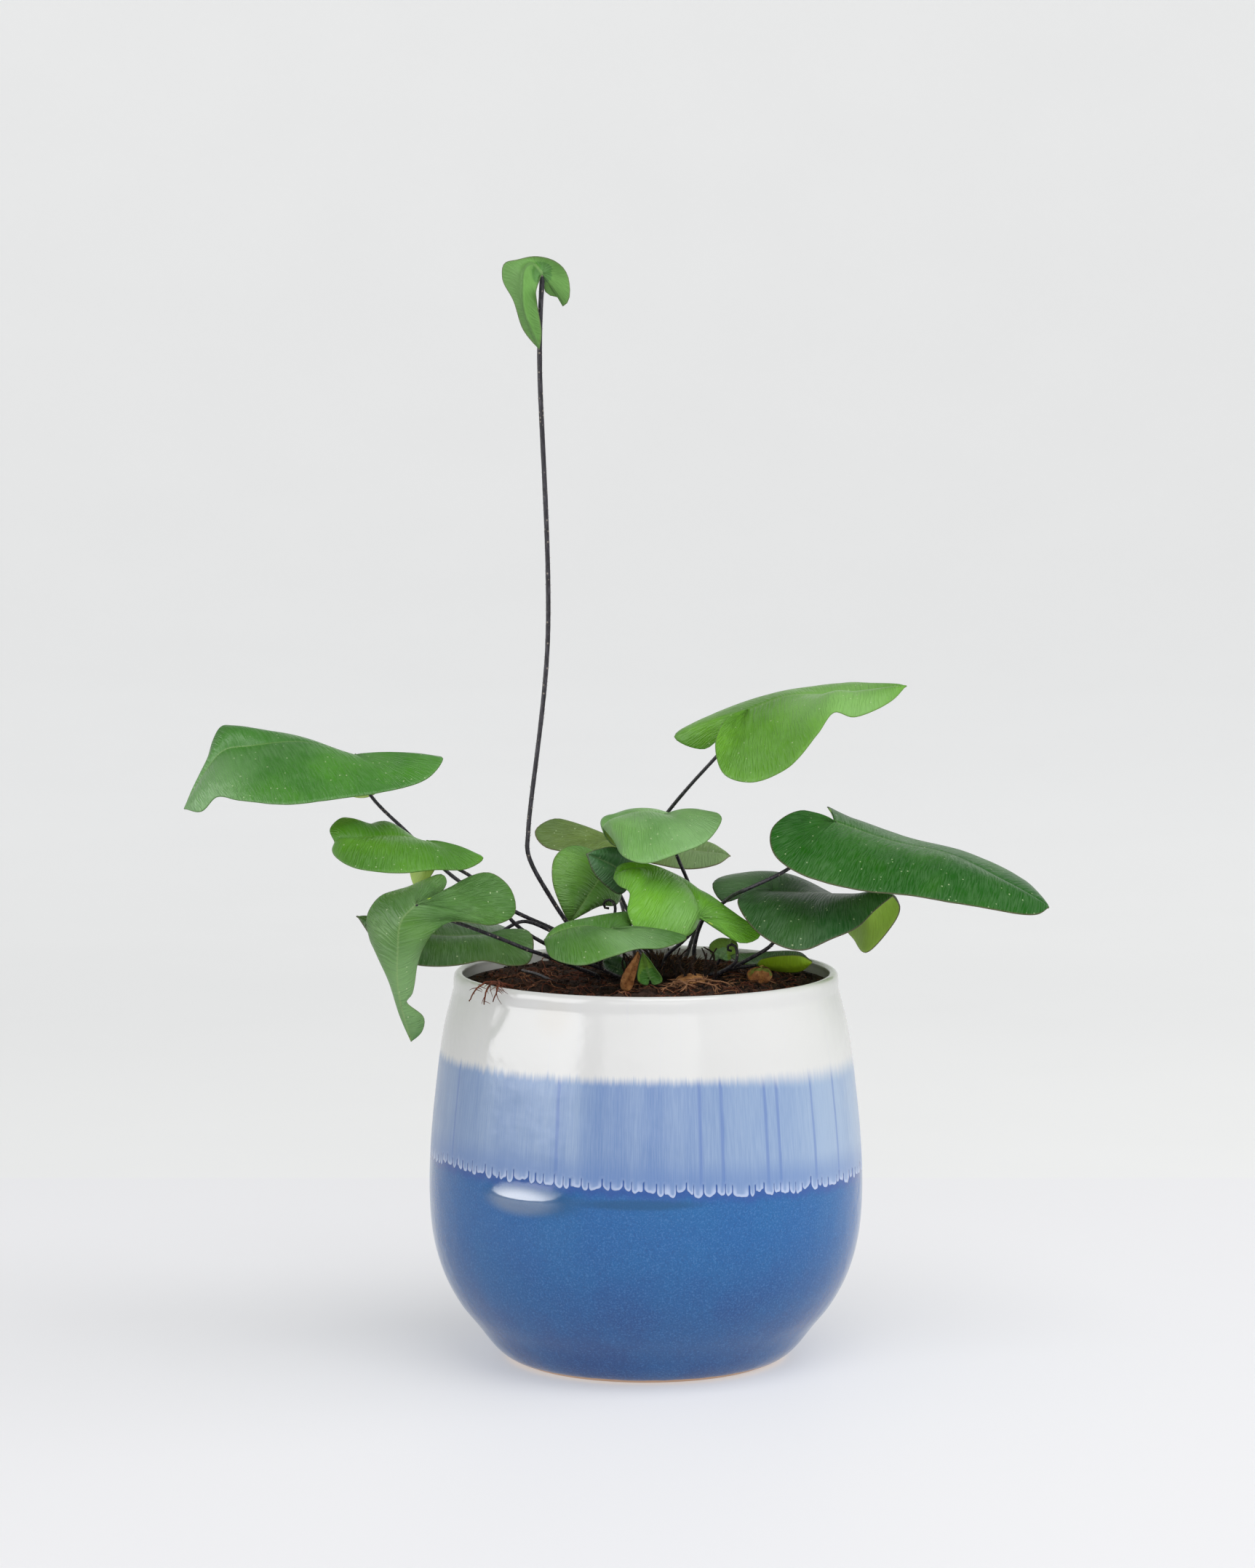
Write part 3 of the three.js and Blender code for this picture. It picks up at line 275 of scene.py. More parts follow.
# Each frond's blade: its green, its underside, how pale its bloom is, and how brown its margin.
LOOKS = {
    "tall": ("467f34", "689a4a", 0.25, 0.3),
    "left_high": ("377f14", "a4c25a", 0.15, 0.15),
    "left_mid": ("4b8a17", "a9c85a", 0.15, 0.15),
    "front_left": ("4a7c2f", "9cc43c", 0.3, 0.3),
    "left_low": ("3a662a", "86ac34", 0.2, 0.4),
    "back": ("5d7934", "8aa552", 0.25, 0.5),
    "back_left": ("5e9438", "7fa63c", 0.2, 0.3),
    "inner_dark": ("386c3e", "5a8a48", 0.25, 0.4),
    "top_centre": ("70a856", "a0c058", 0.4, 0.15),
    "centre": ("62a522", "b0d24c", 0.2, 0.1),
    "front_low": ("457b28", "94ba44", 0.2, 0.2),
    "right_low": ("1a531b", "9cc248", 0.2, 0.5),
    "right_long": ("196008", "80a84c", 0.08, 0.5),
    "right_high": ("5d9d1a", "93b83e", 0.2, 0.15),
    "right_small": ("3c7410", "a2cc1e", 0.15, 0.4),
    "back_small": ("7fae76", "86ac46", 0.4, 0.2),
    "shaded_small": ("245028", "4f7c3c", 0.15, 0.3),
    "young_front": ("4c8c30", "7fae42", 0.2, 0.2),
}
# How much light the upper side mirrors, where that is not PLAIN_GLOSS.
PLAIN_GLOSS = 0.3
GLOSS = {"left_high": 0.48, "right_long": 0.17, "right_low": 0.2, "left_low": 0.25}
# Painted sheen: where a blade is painted paler, as if it caught the light, a point and how far the
# painted veil reaches from it, in millimetres.
SHEEN_SPOTS = {
    "left_high": ((-121, -3, 157), 20),
    "front_left": ((-62, -41, 106), 20),
    "back": ((20, 46, 135), 22),
    "top_centre": ((16, -5, 147), 16),
    "right_low": ((26, 10, 132), 15),
    "centre": ((10, -10, 121), 12),
    "right_high": ((54, 0, 180), 24),
    "front_low": ((-4, -26, 119), 12),
}
LEAF_BLOOM = (0.5, 0.66, 0.45)     # linear tones that a leaf's green goes toward
# the tone of the painted sheen on a blade
LEAF_SHEEN = (0.44, 0.66, 0.36)
LEAF_RIB = (0.62, 0.72, 0.35)
LEAF_HAIR_GLINT = srgb("c4d8a8")
MARGIN = srgb("6b4a45")
GLAZE_WHITE = srgb("d6d6d4")
GLAZE_WHITE_SHADE = srgb("cfd0d8")
GLAZE_STAIN = srgb("cfc6b6")
GLAZE_LILAC = srgb("6382b3")
# hazy streaks in the lilac glaze, which also carry its painted reflection and painted light
GLAZE_HAZE_AND_SHEEN = srgb("98adc8")
GLAZE_DEEP = srgb("0a5b9b")
GLAZE_LOW = srgb("1a457e")
GLAZE_TEAL = srgb("0a639c")
GLAZE_GREENER = srgb("004c7c")
GLAZE_GRIT_PALE = srgb("4a82ba")
GLAZE_GRIT_DARK = srgb("173c74")
GLAZE_EDGE = srgb("bcc9e4")
GLAZE_FOOT = srgb("5478b2")
GLAZE_LINE = srgb("4c6db0")
GLAZE_SHADE = srgb("244a94")
CLAY = srgb("c9a68a")
STALK_DARK = srgb("1d1b21")
STALK_GREY = srgb("45424a")
STALK_HAIR = srgb("a99c8c")
SCALE_BROWN = srgb("5a3a26")
SOIL_DARK = srgb("2b1e18")
SOIL_WARM = srgb("4c372e")
ROOT_RED = srgb("6e3c28")
ROOT_TAN = srgb("9c7050")
DRY_BROWN = srgb("8f5a30")
DRY_GREEN = srgb("7d8a3c")


# ---- curves
def catmull(points, steps):
    """A centripetal Catmull-Rom curve through the points, as a dense line."""
    p = np.asarray(points, float)
    p = np.vstack([2 * p[0] - p[1], p, 2 * p[-1] - p[-2]])
    gap = np.maximum(np.linalg.norm(np.diff(p, axis=0), axis=1) ** 0.5, 1e-6)
    line = []
    for i in range(len(p) - 3):
        d0, d1, d2 = gap[i:i + 3]
        a, b, c, d = p[i:i + 4]
        lead = ((b - a) / d0 - (c - a) / (d0 + d1) + (c - b) / d1) * d1
        trail = ((c - b) / d1 - (d - b) / (d1 + d2) + (d - c) / d2) * d1
        t = np.arange(steps)[:, None] / steps
        cubic = 2 * b - 2 * c + lead + trail
        square = -3 * b + 3 * c - 2 * lead - trail
        line.append(b + lead * t + square * t ** 2 + cubic * t ** 3)
    return np.vstack([*line, p[-2:-1]])


class Curve:
    """A smooth curve through points, read by the share of its length."""

    STEPS = 40

    def __init__(self, points):
        self.line = catmull(points, self.STEPS)
        run = np.linalg.norm(np.diff(self.line, axis=0), axis=1)
        self.share = np.concatenate([[0], np.cumsum(run)])
        self.length = self.share[-1]
        self.share /= self.length

    def at(self, share):
        return np.stack([np.interp(share, self.share, self.line[:, k]) for k in range(3)], -1)


def unit(vector):
    return vector / max(np.linalg.norm(vector), 1e-9)


def units(rows):
    return rows / np.maximum(np.linalg.norm(rows, axis=1, keepdims=True), 1e-9)


def smoothstep(low, high, x):
    t = np.clip((x - low) / (high - low), 0, 1)
    return t * t * (3 - 2 * t)


def grain(points, size, seed=0.0):
    """Smooth noise from -1 to 1 at each point, with features of that size in millimetres."""
    return np.array([noise.noise(Vector(p) / size + Vector((seed, seed, seed))) for p in points])


# ---- meshes
def make_piece(name, points, faces, materials, uvs=None, material_index=None, smooth=True):
    """A mesh object at the origin from points in millimetres."""
    mesh = bpy.data.meshes.new(name)
    mesh.from_pydata((np.asarray(points) * MM).tolist(), [], faces)
    for material in materials:
        mesh.materials.append(material)
    mesh.polygons.foreach_set("use_smooth", np.full(len(faces), smooth))
    if material_index is not None:
        mesh.polygons.foreach_set("material_index", np.asarray(material_index, np.int32))
    for layer, values in (uvs or {}).items():
        data = mesh.uv_layers.new(name=layer).data
        data.foreach_set("uv", np.asarray(values, np.float32).ravel())
    mesh.validate()
    mesh.update()
    piece = bpy.data.objects.new(name, mesh)
    bpy.context.scene.collection.objects.link(piece)
    return piece


def settle(piece, slot, *nodes):
    """Ties a piece to the frame: its body and the solids it stands for; slot, its finish, is not used."""
    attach(piece, "root")
    if nodes:
        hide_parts(*nodes)


class Heap:
    """Collects many small shapes into one mesh."""

    def __init__(self):
        self.points = []
        self.faces = []
        self.marks = []
        self.count = 0

    def add(self, points, faces, mark=0):
        self.points.append(np.asarray(points, float))
        self.faces += [tuple(i + self.count for i in face) for face in faces]
        self.marks += [mark] * len(faces)
        self.count += len(points)

    def piece(self, name, materials, smooth=True):
        points = np.vstack(self.points)
        return make_piece(name, points, self.faces, materials, None, self.marks, smooth)


def band_faces(first, rings, count, inward=False):
    """Quads between rings of count points each, the first of which starts at point first."""
    faces = []
    for i in range(rings - 1):
        for k in range(count):
            a = first + i * count + k
            b = first + i * count + (k + 1) % count
            faces.append((a, a + count, b + count, b) if inward else (a, b, b + count, a + count))
    return faces


def tube(line, radius, sides):
    """A closed round bar along a line: its points and faces. radius is one number or one a point."""
    line = np.asarray(line, float)
    radius = np.broadcast_to(radius, len(line))
    run = units(np.gradient(line, axis=0))
    across = np.array([1.0, 0.0, 0.0]) if abs(run[0][0]) < 0.9 else np.array([0.0, 1.0, 0.0])
    angles = 2 * np.pi * np.arange(sides) / sides
    rings = []
    for point, along, size in zip(line, run, radius):
        across = unit(across - across.dot(along) * along)
        aside = np.cross(along, across)
        ring = np.outer(np.cos(angles), across) + np.outer(np.sin(angles), aside)
        rings.append(point + size * ring)
    faces = band_faces(0, len(line), sides)
    faces.append(tuple(range(sides - 1, -1, -1)))
    faces.append(tuple(range((len(line) - 1) * sides, len(line) * sides)))
    return np.vstack(rings), faces


def spike(root, tip, width):
    """A slim three-sided hair from root to tip."""
    root, tip = np.asarray(root, float), np.asarray(tip, float)
    along = tip - root
    side = unit(np.cross(along, [0.3, 0.5, 0.8]))
    other = np.cross(unit(along), side)
    ring = [root + width * (math.cos(a) * side + math.sin(a) * other) for a in (0, 2.1, 4.2)]
    return [*ring, tip], [(2, 1, 0), (0, 1, 3), (1, 2, 3), (2, 0, 3)]


# ---- materials
class Shader:
    """A material whose node tree is built up by small calls."""

    def __init__(self, name, roughness, **constants):
        self.material = bpy.data.materials.new(name)
        self.material.use_nodes = True
        self.tree = self.material.node_tree
        self.surface = self.tree.nodes["Principled BSDF"]
        self.surface.inputs["Roughness"].default_value = roughness
        for socket, value in constants.items():
            self.surface.inputs[socket.replace("_", " ")].default_value = value

    def node(self, kind, settings, *values, **named):
        """A node with its settings, its first inputs in order and others by name."""
        node = self.tree.nodes.new("ShaderNode" + kind)
        for key, value in settings.items():
            setattr(node, key, value)
        for socket, value in zip(node.inputs, values):
            self.feed(socket, value)
        for key, value in named.items():
            self.feed(node.inputs[key], value)
        return node

    def feed(self, socket, value):
        if isinstance(value, bpy.types.NodeSocket):
            self.tree.links.new(value, socket)
        elif isinstance(value, (list, tuple)) and len(value) == 3 and socket.type == "RGBA":
            socket.default_value = (*value, 1)
        elif value is not None:
            socket.default_value = value

    def math(self, operation, a, b=None, c=None):
        return self.node("Math", {"operation": operation}, a, b, c).outputs[0]

    def times(self, a, b):
        return self.math("MULTIPLY", a, b)

    def minus(self, a, b):
        return self.math("SUBTRACT", a, b)

    def scaled(self, a, b, c):
        """a times b, plus c."""
        return self.math("MULTIPLY_ADD", a, b, c)

    def joined(self, x, y, z):
        return self.node("CombineXYZ", {}, x, y, z).outputs[0]

    def apart(self, a, b):
        node = self.node("VectorMath", {"operation": "DISTANCE"}, a, b)
        return node.outputs["Value"]

    def place(self):
        """Position on the object in millimetres."""
        coords = self.node("TexCoord", {}).outputs["Object"]
        return self.node("VectorMath", {"operation": "SCALE"}, coords, Scale=1 / MM).outputs[0]

    def stretch(self, vector, x, y, z):
        node = self.node("VectorMath", {"operation": "MULTIPLY"}, vector, (x, y, z))
        return node.outputs[0]

    def split(self, vector):
        return self.node("SeparateXYZ", {}, vector).outputs

    def uv(self, layer):
        node = self.node("UVMap", {"uv_map": layer})
        return self.split(node.outputs[0])

    def noise(self, vector, scale, detail=2.0, roughness=0.5):
        return self.node("TexNoise", {}, Vector=vector, Scale=scale, Detail=detail,
                         Roughness=roughness).outputs[0]

    def cells(self, vector, scale):
        """Round spots: the distance to the nearest one, and a number from 0 to 1 for each."""
        node = self.node("TexVoronoi", {}, Vector=vector, Scale=scale)
        return node.outputs["Distance"], self.split(node.outputs["Color"])[0]

    def remap(self, value, low, high, start=0.0, end=1.0):
        settings = {"interpolation_type": "SMOOTHSTEP", "clamp": True}
        return self.node("MapRange", settings, value, low, high, start, end).outputs[0]

    def mix(self, share, a, b):
        node = self.node("Mix", {"data_type": "RGBA"}, share)
        self.feed(node.inputs[6], a)
        self.feed(node.inputs[7], b)
        return node.outputs[2]

    def paint(self, colour, roughness=None, height=None):
        """Joins the colour, roughness and relief, in millimetres, to the surface."""
        self.feed(self.surface.inputs["Base Color"], colour)
        if roughness is not None:
            self.feed(self.surface.inputs["Roughness"], roughness)
        if height is not None:
            bump = self.node("Bump", {}, Distance=MM, Height=height)
            self.feed(self.surface.inputs["Normal"], bump.outputs[0])
        return self.material


def vein_lines(s):
    """Fine broken veins that fan from the base and crowd toward the margin."""
    fan, across, _ = s.uv("fan")
    rib, edge, _ = s.uv("reach")
    drift = s.scaled(s.noise(s.place(), 0.2, 2), 1.2, fan)
    long_way = s.times(rib, 0.13)
    coarse = s.noise(s.joined(drift, long_way, 0.0), 1.1, 1)
    fine = s.noise(s.joined(drift, long_way, 5.0), 2.0, 1)
    fork = s.remap(across, 0.3, 0.6)
    coarse = s.times(s.minus(1.0, fork), coarse)
    return s.remap(s.scaled(fork, fine, coarse), 0.3, 0.7), rib, edge


def leaf_upper(name, green, bloom, brown, gloss, haze_and_sheen):
    """The upper skin: patchy green, a pale bloom, a veil of painted sheen, veins, a midrib, pale specks
    painted as glints and a brown margin.
    """
    s = Shader(name, 0.42, Specular_IOR_Level=gloss)
    place = s.place()
    lines, rib, edge = vein_lines(s)
    patches = s.remap(s.noise(place, 0.05, 2), 0.35, 0.65)
    light = [1.12 * green[0] + 0.01, 1.1 * green[1], green[2]]
    colour = s.mix(patches, dim(green, 0.78), light)
    pale = toward(green, LEAF_BLOOM, 0.25)
    film = s.times(s.remap(s.noise(place, 0.09, 4, 0.6), 0.42, 0.72), bloom)
    colour = s.mix(film, colour, pale)
    # a veil of painted sheen, as if the blade caught the light there
    if haze_and_sheen:
        centre, reach = haze_and_sheen
        sheen_veil = s.remap(s.apart(place, centre), 0.2 * reach, reach, 0.65, 0)
        colour = s.mix(sheen_veil, colour, toward(green, LEAF_SHEEN, 0.4))
    colour = s.mix(s.times(lines, 0.24), colour, pale)
    midrib = s.times(s.remap(rib, 0.1, 0.45, 1, 0), 0.3)
    colour = s.mix(midrib, colour, toward(green, LEAF_RIB, 0.4))
    # pale specks: painted glints off the tiny hairs on the blade
    distance, keep = s.cells(place, 0.55)
    speck = s.times(s.remap(distance, 0.09, 0.16, 1, 0), s.remap(keep, 0.55, 0.6))
    colour = s.mix(s.times(speck, 0.5), colour, LEAF_HAIR_GLINT)
    colour = s.mix(s.remap(edge, 0.05, 0.35, brown, 0), colour, MARGIN)
    rough = s.scaled(s.noise(place, 0.35, 3), 0.2, 0.26)
    fine = s.noise(place, 1.5, 3)
    height = s.scaled(fine, 0.09, s.times(lines, 0.15))
    return s.paint(colour, rough, height)


def leaf_under(name, colour, brown):
    s = Shader(name, 0.6, Specular_IOR_Level=0.35)
    place = s.place()
    lines, rib, edge = vein_lines(s)
    light = [min(1, 1.2 * c + 0.02) for c in colour]
    shade = s.mix(s.remap(s.noise(place, 0.08, 3), 0.3, 0.7), dim(colour, 0.78), colour)
    shade = s.mix(s.times(lines, 0.35), shade, light)
    shade = s.mix(s.remap(rib, 0.1, 0.4, 0.3, 0), shade, STALK_DARK)
    shade = s.mix(s.remap(edge, 0.05, 0.35, brown, 0), shade, MARGIN)
    height = s.scaled(s.noise(place, 1.4, 2), 0.05, s.times(lines, 0.07))
    return s.paint(shade, None, height)


def leaf_rim(name, green, brown):
    s = Shader(name, 0.6)
    rim = toward(green, MARGIN, brown)
    return s.paint(s.mix(s.noise(s.place(), 0.5, 2), dim(rim, 0.6), rim))


def stalk_skin():
    s = Shader("stalk_skin", 0.45, Specular_IOR_Level=0.4)
    place = s.place()
    streaks = s.noise(s.stretch(place, 1.5, 1.5, 0.4), 1.0, 3, 0.6)
    colour = s.mix(s.remap(streaks, 0.4, 0.75), STALK_DARK, STALK_GREY)
    distance, keep = s.cells(place, 0.9)
    speck = s.times(s.remap(distance, 0.15, 0.3, 1, 0), s.remap(keep, 0.55, 0.6))
    colour = s.mix(s.times(speck, 0.55), colour, STALK_HAIR)
    return s.paint(colour, None, s.times(streaks, 0.12))


def fibrous(name, dark, light, scale, relief, roughness=0.85):
    """Rough matter such as soil, bark, roots and dead leaves."""
    s = Shader(name, roughness, Specular_IOR_Level=0.25)
    place = s.place()
    broad = s.remap(s.noise(place, scale, 4, 0.6), 0.35, 0.65)
    fine = s.noise(place, scale * 5, 3, 0.6)
    colour = s.mix(broad, dark, light)
    colour = s.mix(s.remap(fine, 0.3, 0.5, 0.6, 0), colour, dim(dark, 0.3))
    height = s.scaled(broad, relief, s.times(fine, relief))
    return s.paint(colour, None, height)


# ---- the pot's glaze
# The two glaze lines: mean height, rise to the right, rise to the back, and twist.
WHITE_LINE = (85.4, -0.3, -0.5, 0.3)
DRIP_LINE = (57.4, -2.0, -1.4, 0.7)
DRIPS = 134                     # fingers of glaze round the pot
DRIP_LEVEL_RADIUS = 59
DRIP_PITCH = 2 * math.pi * DRIP_LEVEL_RADIUS / DRIPS
STAIN_PLACE = (-24.0, -46.0, 101.0)    # a faint spot under the rim
# A turn is an angle in degrees from the front, to the right.
RUNS = (-62, -24, 14, 20, 33, 37, 50, 61)    # turns of dark runs in the lilac glaze
# Painted light on the lilac glaze: a painted reflection of the window on the left and painted light from
# the right. Where it sets in: the turn where it starts, the turn where it is full, and how much there is.
PAINTED_LIGHT_SIDES = ((-16, -19, 0.25), (4, 18, 0.28), (30, 58, 0.4))
# Darker, greener places in the blue glaze: turn, spread, height and half height.
GREENER = ((-2, 19, 53.2, 1.7), (-31, 17, 53.0, 5.0))
# Where the blue glaze sags: turn, spread, height and depth. The first is glossy too.
SAGS = ((-34, 11, 52.2, 0.95), (-4, 20, 55.6, 0.2))
SAG_HALF_HEIGHT = 3.2
GLOSS_HALF_HEIGHT = 3.8


def glaze():
    """The pot's material: white glaze that runs into lilac, which drips over speckled blue."""
    s = Shader("pot_glaze", 0.12, Specular_IOR_Level=0.5, Coat_IOR=2.1, Coat_Roughness=0.08)
    place = s.place()
    x, y, z = s.split(place)
    flat = s.joined(x, y, 0.0)
    around = s.node("VectorMath", {"operation": "NORMALIZE"}, flat).outputs[0]
    right, back, _ = s.split(around)
    turn = s.math("ARCTAN2", right, s.times(back, -1.0))

    def level(line):
        """The height of a glaze line, which dips and rises round the pot."""
        mean, rightward, backward, twist = line
        base = s.scaled(right, rightward, mean)
        base = s.scaled(back, backward, base)
        return s.scaled(s.times(right, back), twist, base)

    def sown(value):
        """A number from 0 to 1 for each whole number."""
        whole = s.math("FLOOR", value)
        return s.node("TexWhiteNoise", {"noise_dimensions": "1D"}, W=whole).outputs["Value"]

    def hypotenuse(a, b):
        return s.math("SQRT", s.scaled(a, a, s.times(b, b)))

    def away_from(middle, spread, height, tall):
        """Distance from the middle of a lens-shaped place on the wall, 1 at its edge."""
        turned = s.minus(turn, math.radians(middle))
        turned = s.math("DIVIDE", turned, math.radians(spread))
        raised = s.math("DIVIDE", s.minus(z, height), tall)
        return hypotenuse(turned, raised)

    # streaks run down the wall: they change round it far faster than along it
    slow = s.times(z, 0.0006)
    strand = s.joined(right, back, slow)
    hair = s.noise(strand, 190, 2, 0.65)
    tuft = s.noise(strand, 42, 2, 0.6)
    band = s.noise(strand, 7, 2, 0.6)
    # the white glaze feathers into the lilac one, most softly on the right
    feather = s.scaled(s.minus(tuft, 0.5), 2.6, level(WHITE_LINE))
    feather = s.scaled(s.minus(hair, 0.5), 2.4, feather)
    low = s.remap(right, 0.2, 0.95, -1.9, -4.8)
    whiteness = s.remap(s.minus(z, feather), low, 1.3)
    # the lilac glaze ends in rounded drips with slits between them
    phase = s.scaled(turn, DRIPS / (2 * math.pi), s.times(s.noise(around, 11.0, 2), 2.5))
    cell = s.math("ABSOLUTE", s.minus(s.math("FRACT", phase), 0.5))
    aside = s.times(cell, DRIP_PITCH)
    girth = s.scaled(sown(phase), 0.16, 0.44 * DRIP_PITCH - 0.08)
    hang = s.minus(level(DRIP_LINE), s.times(s.noise(around, 14.0, 2), 4.0))
    tip = s.scaled(sown(phase), -1.2, hang)
    below = s.math("MINIMUM", s.minus(s.minus(z, tip), girth), 0.0)
    from_core = hypotenuse(aside, below)
    over = s.minus(z, hang)
    root = s.scaled(s.noise(around, 40.0, 1), -2.6, s.minus(over, 0.9))
    near = s.math("SMOOTH_MAX", s.minus(girth, from_core), root, 0.5)
    lilac = s.remap(near, -0.07, 0.09)
    # fine dark runs here and there
    wander = s.scaled(s.minus(hair, 0.5), 0.01, turn)
    run = 0.0
    for angle in RUNS:
        aside = s.math("ABSOLUTE", s.minus(wander, math.radians(angle)))
        run = s.math("MAXIMUM", run, s.remap(aside, 0.003, 0.013, 1, 0))
    # the lilac glaze, hazier in streaks here and there, lighter at the sides with painted reflection and
    # painted light, and paler round the drips
    haze_and_sheen = s.math("ADD", s.remap(hair, 0.3, 0.75, 0, 0.32), s.remap(band, 0.35, 0.7, 0, 0.22))
    # the sides lighter: a painted reflection of the window on the left, painted light from the right
    for start, end, share in PAINTED_LIGHT_SIDES:
        haze_and_sheen = s.math("ADD", haze_and_sheen, s.remap(turn, math.radians(start), math.radians(end), 0, share))
    upper = s.mix(haze_and_sheen, GLAZE_LILAC, GLAZE_HAZE_AND_SHEEN)
    upper = s.mix(s.times(run, 0.5), upper, GLAZE_LINE)
    above_drips = s.minus(z, level(DRIP_LINE))
    upper = s.mix(s.remap(above_drips, 0.5, 8.0, 0.5, 0), upper, GLAZE_FOOT)
    rim = s.times(s.remap(near, 0.3, 1.0, 0.8, 0.2), s.remap(over, -0.4, 2.6, 1, 0.1))
    upper = s.mix(rim, upper, GLAZE_EDGE)
    # the blue glaze, with pale and dark grit, and darker just under the drips
    grit = s.noise(place, 2.0, 3, 0.75)
    lower = s.mix(s.remap(z, 6, 50), GLAZE_LOW, GLAZE_DEEP)
    lower = s.mix(s.remap(s.noise(place, 0.05, 2), 0.4, 0.6, 0, 0.3), lower, GLAZE_TEAL)
    lower = s.mix(s.remap(grit, 0.5, 0.66, 0, 0.42), lower, GLAZE_GRIT_PALE)
    lower = s.mix(s.remap(grit, 0.34, 0.48, 0.42, 0), lower, GLAZE_GRIT_DARK)
    for lens in GREENER:
        lower = s.mix(s.remap(away_from(*lens), 0.5, 1.1, 0.75, 0), lower, GLAZE_GREENER)
    lower = s.mix(s.remap(over, -3.2, -0.3, 0, 0.75), lower, GLAZE_SHADE)
    colour = s.mix(lilac, lower, upper)
    body = s.mix(s.remap(tuft, 0.6, 0.72, 0, 0.14), GLAZE_WHITE, GLAZE_WHITE_SHADE)
    colour = s.mix(whiteness, colour, body)
    stain = s.remap(s.apart(place, STAIN_PLACE), 2.0, 8.0, 0.2, 0)
    colour = s.mix(s.times(stain, whiteness), colour, GLAZE_STAIN)
    # the thick glaze of the first sag is glossier than the rest
    middle, spread, height, _ = SAGS[0]
    away = away_from(middle, spread, height, GLOSS_HALF_HEIGHT)
    s.feed(s.surface.inputs["Coat Weight"], s.remap(away, 0.45, 1.25, 1.0, 0.05))
    # bare clay at the foot
    bare = s.remap(s.scaled(s.noise(around, 6.0, 2), 0.5, z), 1.35, 1.55, 1, 0)
    colour = s.mix(bare, colour, CLAY)
    rough = s.scaled(lilac, 0.16, 0.09)
    rough = s.scaled(whiteness, -0.12, rough)
    rough = s.scaled(bare, 0.6, rough)
    relief = s.times(s.remap(near, -0.2, 0.3), 0.12)
    relief = s.scaled(s.noise(place, 0.12, 2), 0.25, relief)
    thread = s.times(s.minus(1.0, whiteness), 0.02)
    relief = s.scaled(hair, thread, relief)
    relief = s.scaled(grit, 0.01, relief)
    return s.paint(colour, rough, relief)


def revolve(profile, segments):
    """Points and quads of a closed solid of revolution from its profile on the axis at both ends."""
    angles = 2 * np.pi * np.arange(segments) / segments
    rings = [np.array([[0, 0, profile[0][1]]])]
    for radius, height in profile[1:-1]:
        ring = np.stack([radius * np.sin(angles), -radius * np.cos(angles),
                         np.full(segments, height)], -1)
        rings.append(ring)
    rings.append(np.array([[0, 0, profile[-1][1]]]))
    last = 1 + (len(profile) - 2) * segments
    end = last - segments
    faces = []
    for k in range(segments):
        faces.append((0, 1 + (k + 1) % segments, 1 + k))
        faces.append((end + k, end + (k + 1) % segments, last))
    return np.vstack(rings), faces + band_faces(1, len(profile) - 2, segments)


def rounded(points, rows):
    """A smooth profile through [radius, height] points."""
    curve = Curve([[r, 0, h] for r, h in points])
    return curve.at(np.linspace(0, 1, rows))[:, [0, 2]]


def make_pot():
    wall = rounded(POT_WALL, 130)
    over_lip = [
        [RIM_OUTER + 0.4, POT_HEIGHT - 1], [RIM_OUTER - 0.25, POT_HEIGHT - 0.2],
        [(RIM_OUTER + RIM_INNER) / 2, POT_HEIGHT], [RIM_INNER + 0.05, POT_HEIGHT - 0.45],
    ]
    lip = rounded([POT_WALL[-1], *over_lip, POT_INSIDE[0]], 16)
    inside = rounded(POT_INSIDE, 26)
    under = [[r, 0] for r in (0, 18, 34, 36)]
    profile = np.vstack([under, wall, lip[1:], inside[1:], [[0, FLOOR_THICKNESS]]])
    points, faces = revolve(profile, POT_SEGMENTS)
    # the blue glaze sags in soft rolls under the drips
    radius = np.hypot(points[:, 0], points[:, 1])
    turn = np.degrees(np.arctan2(points[:, 0], -points[:, 1]))
    outside = radius > 56       # the pot's inside is nowhere as wide
    for middle, spread, height, depth in SAGS:
        up = (points[:, 2] - height) / SAG_HALF_HEIGHT
        sag = depth * np.exp(-((turn - middle) / spread) ** 2 - up ** 2)
        points[:, :2] *= (1 + np.where(outside, sag, 0) / np.maximum(radius, 1))[:, None]
    settle(make_piece("pot_body", points, faces, [glaze()]), "glaze", "pot")


# ---- soil and what lies on it
def soil_height(x, y):
    """The soil's surface: lumpy, but level round the crown and at the wall."""
    lumps = np.sin(x * 0.31 + 1) * np.cos(y * 0.27) + 0.6 * np.sin(x * 0.71 - y * 0.53 + 2)
    crown = smoothstep(22, 32, np.hypot(x - CROWN[0], y - CROWN[1]))
    wall = 1 - smoothstep(0.85, 0.99, np.hypot(x, y) / RIM_INNER)
    return SOIL_LEVEL + SOIL_RELIEF * lumps * crown * wall


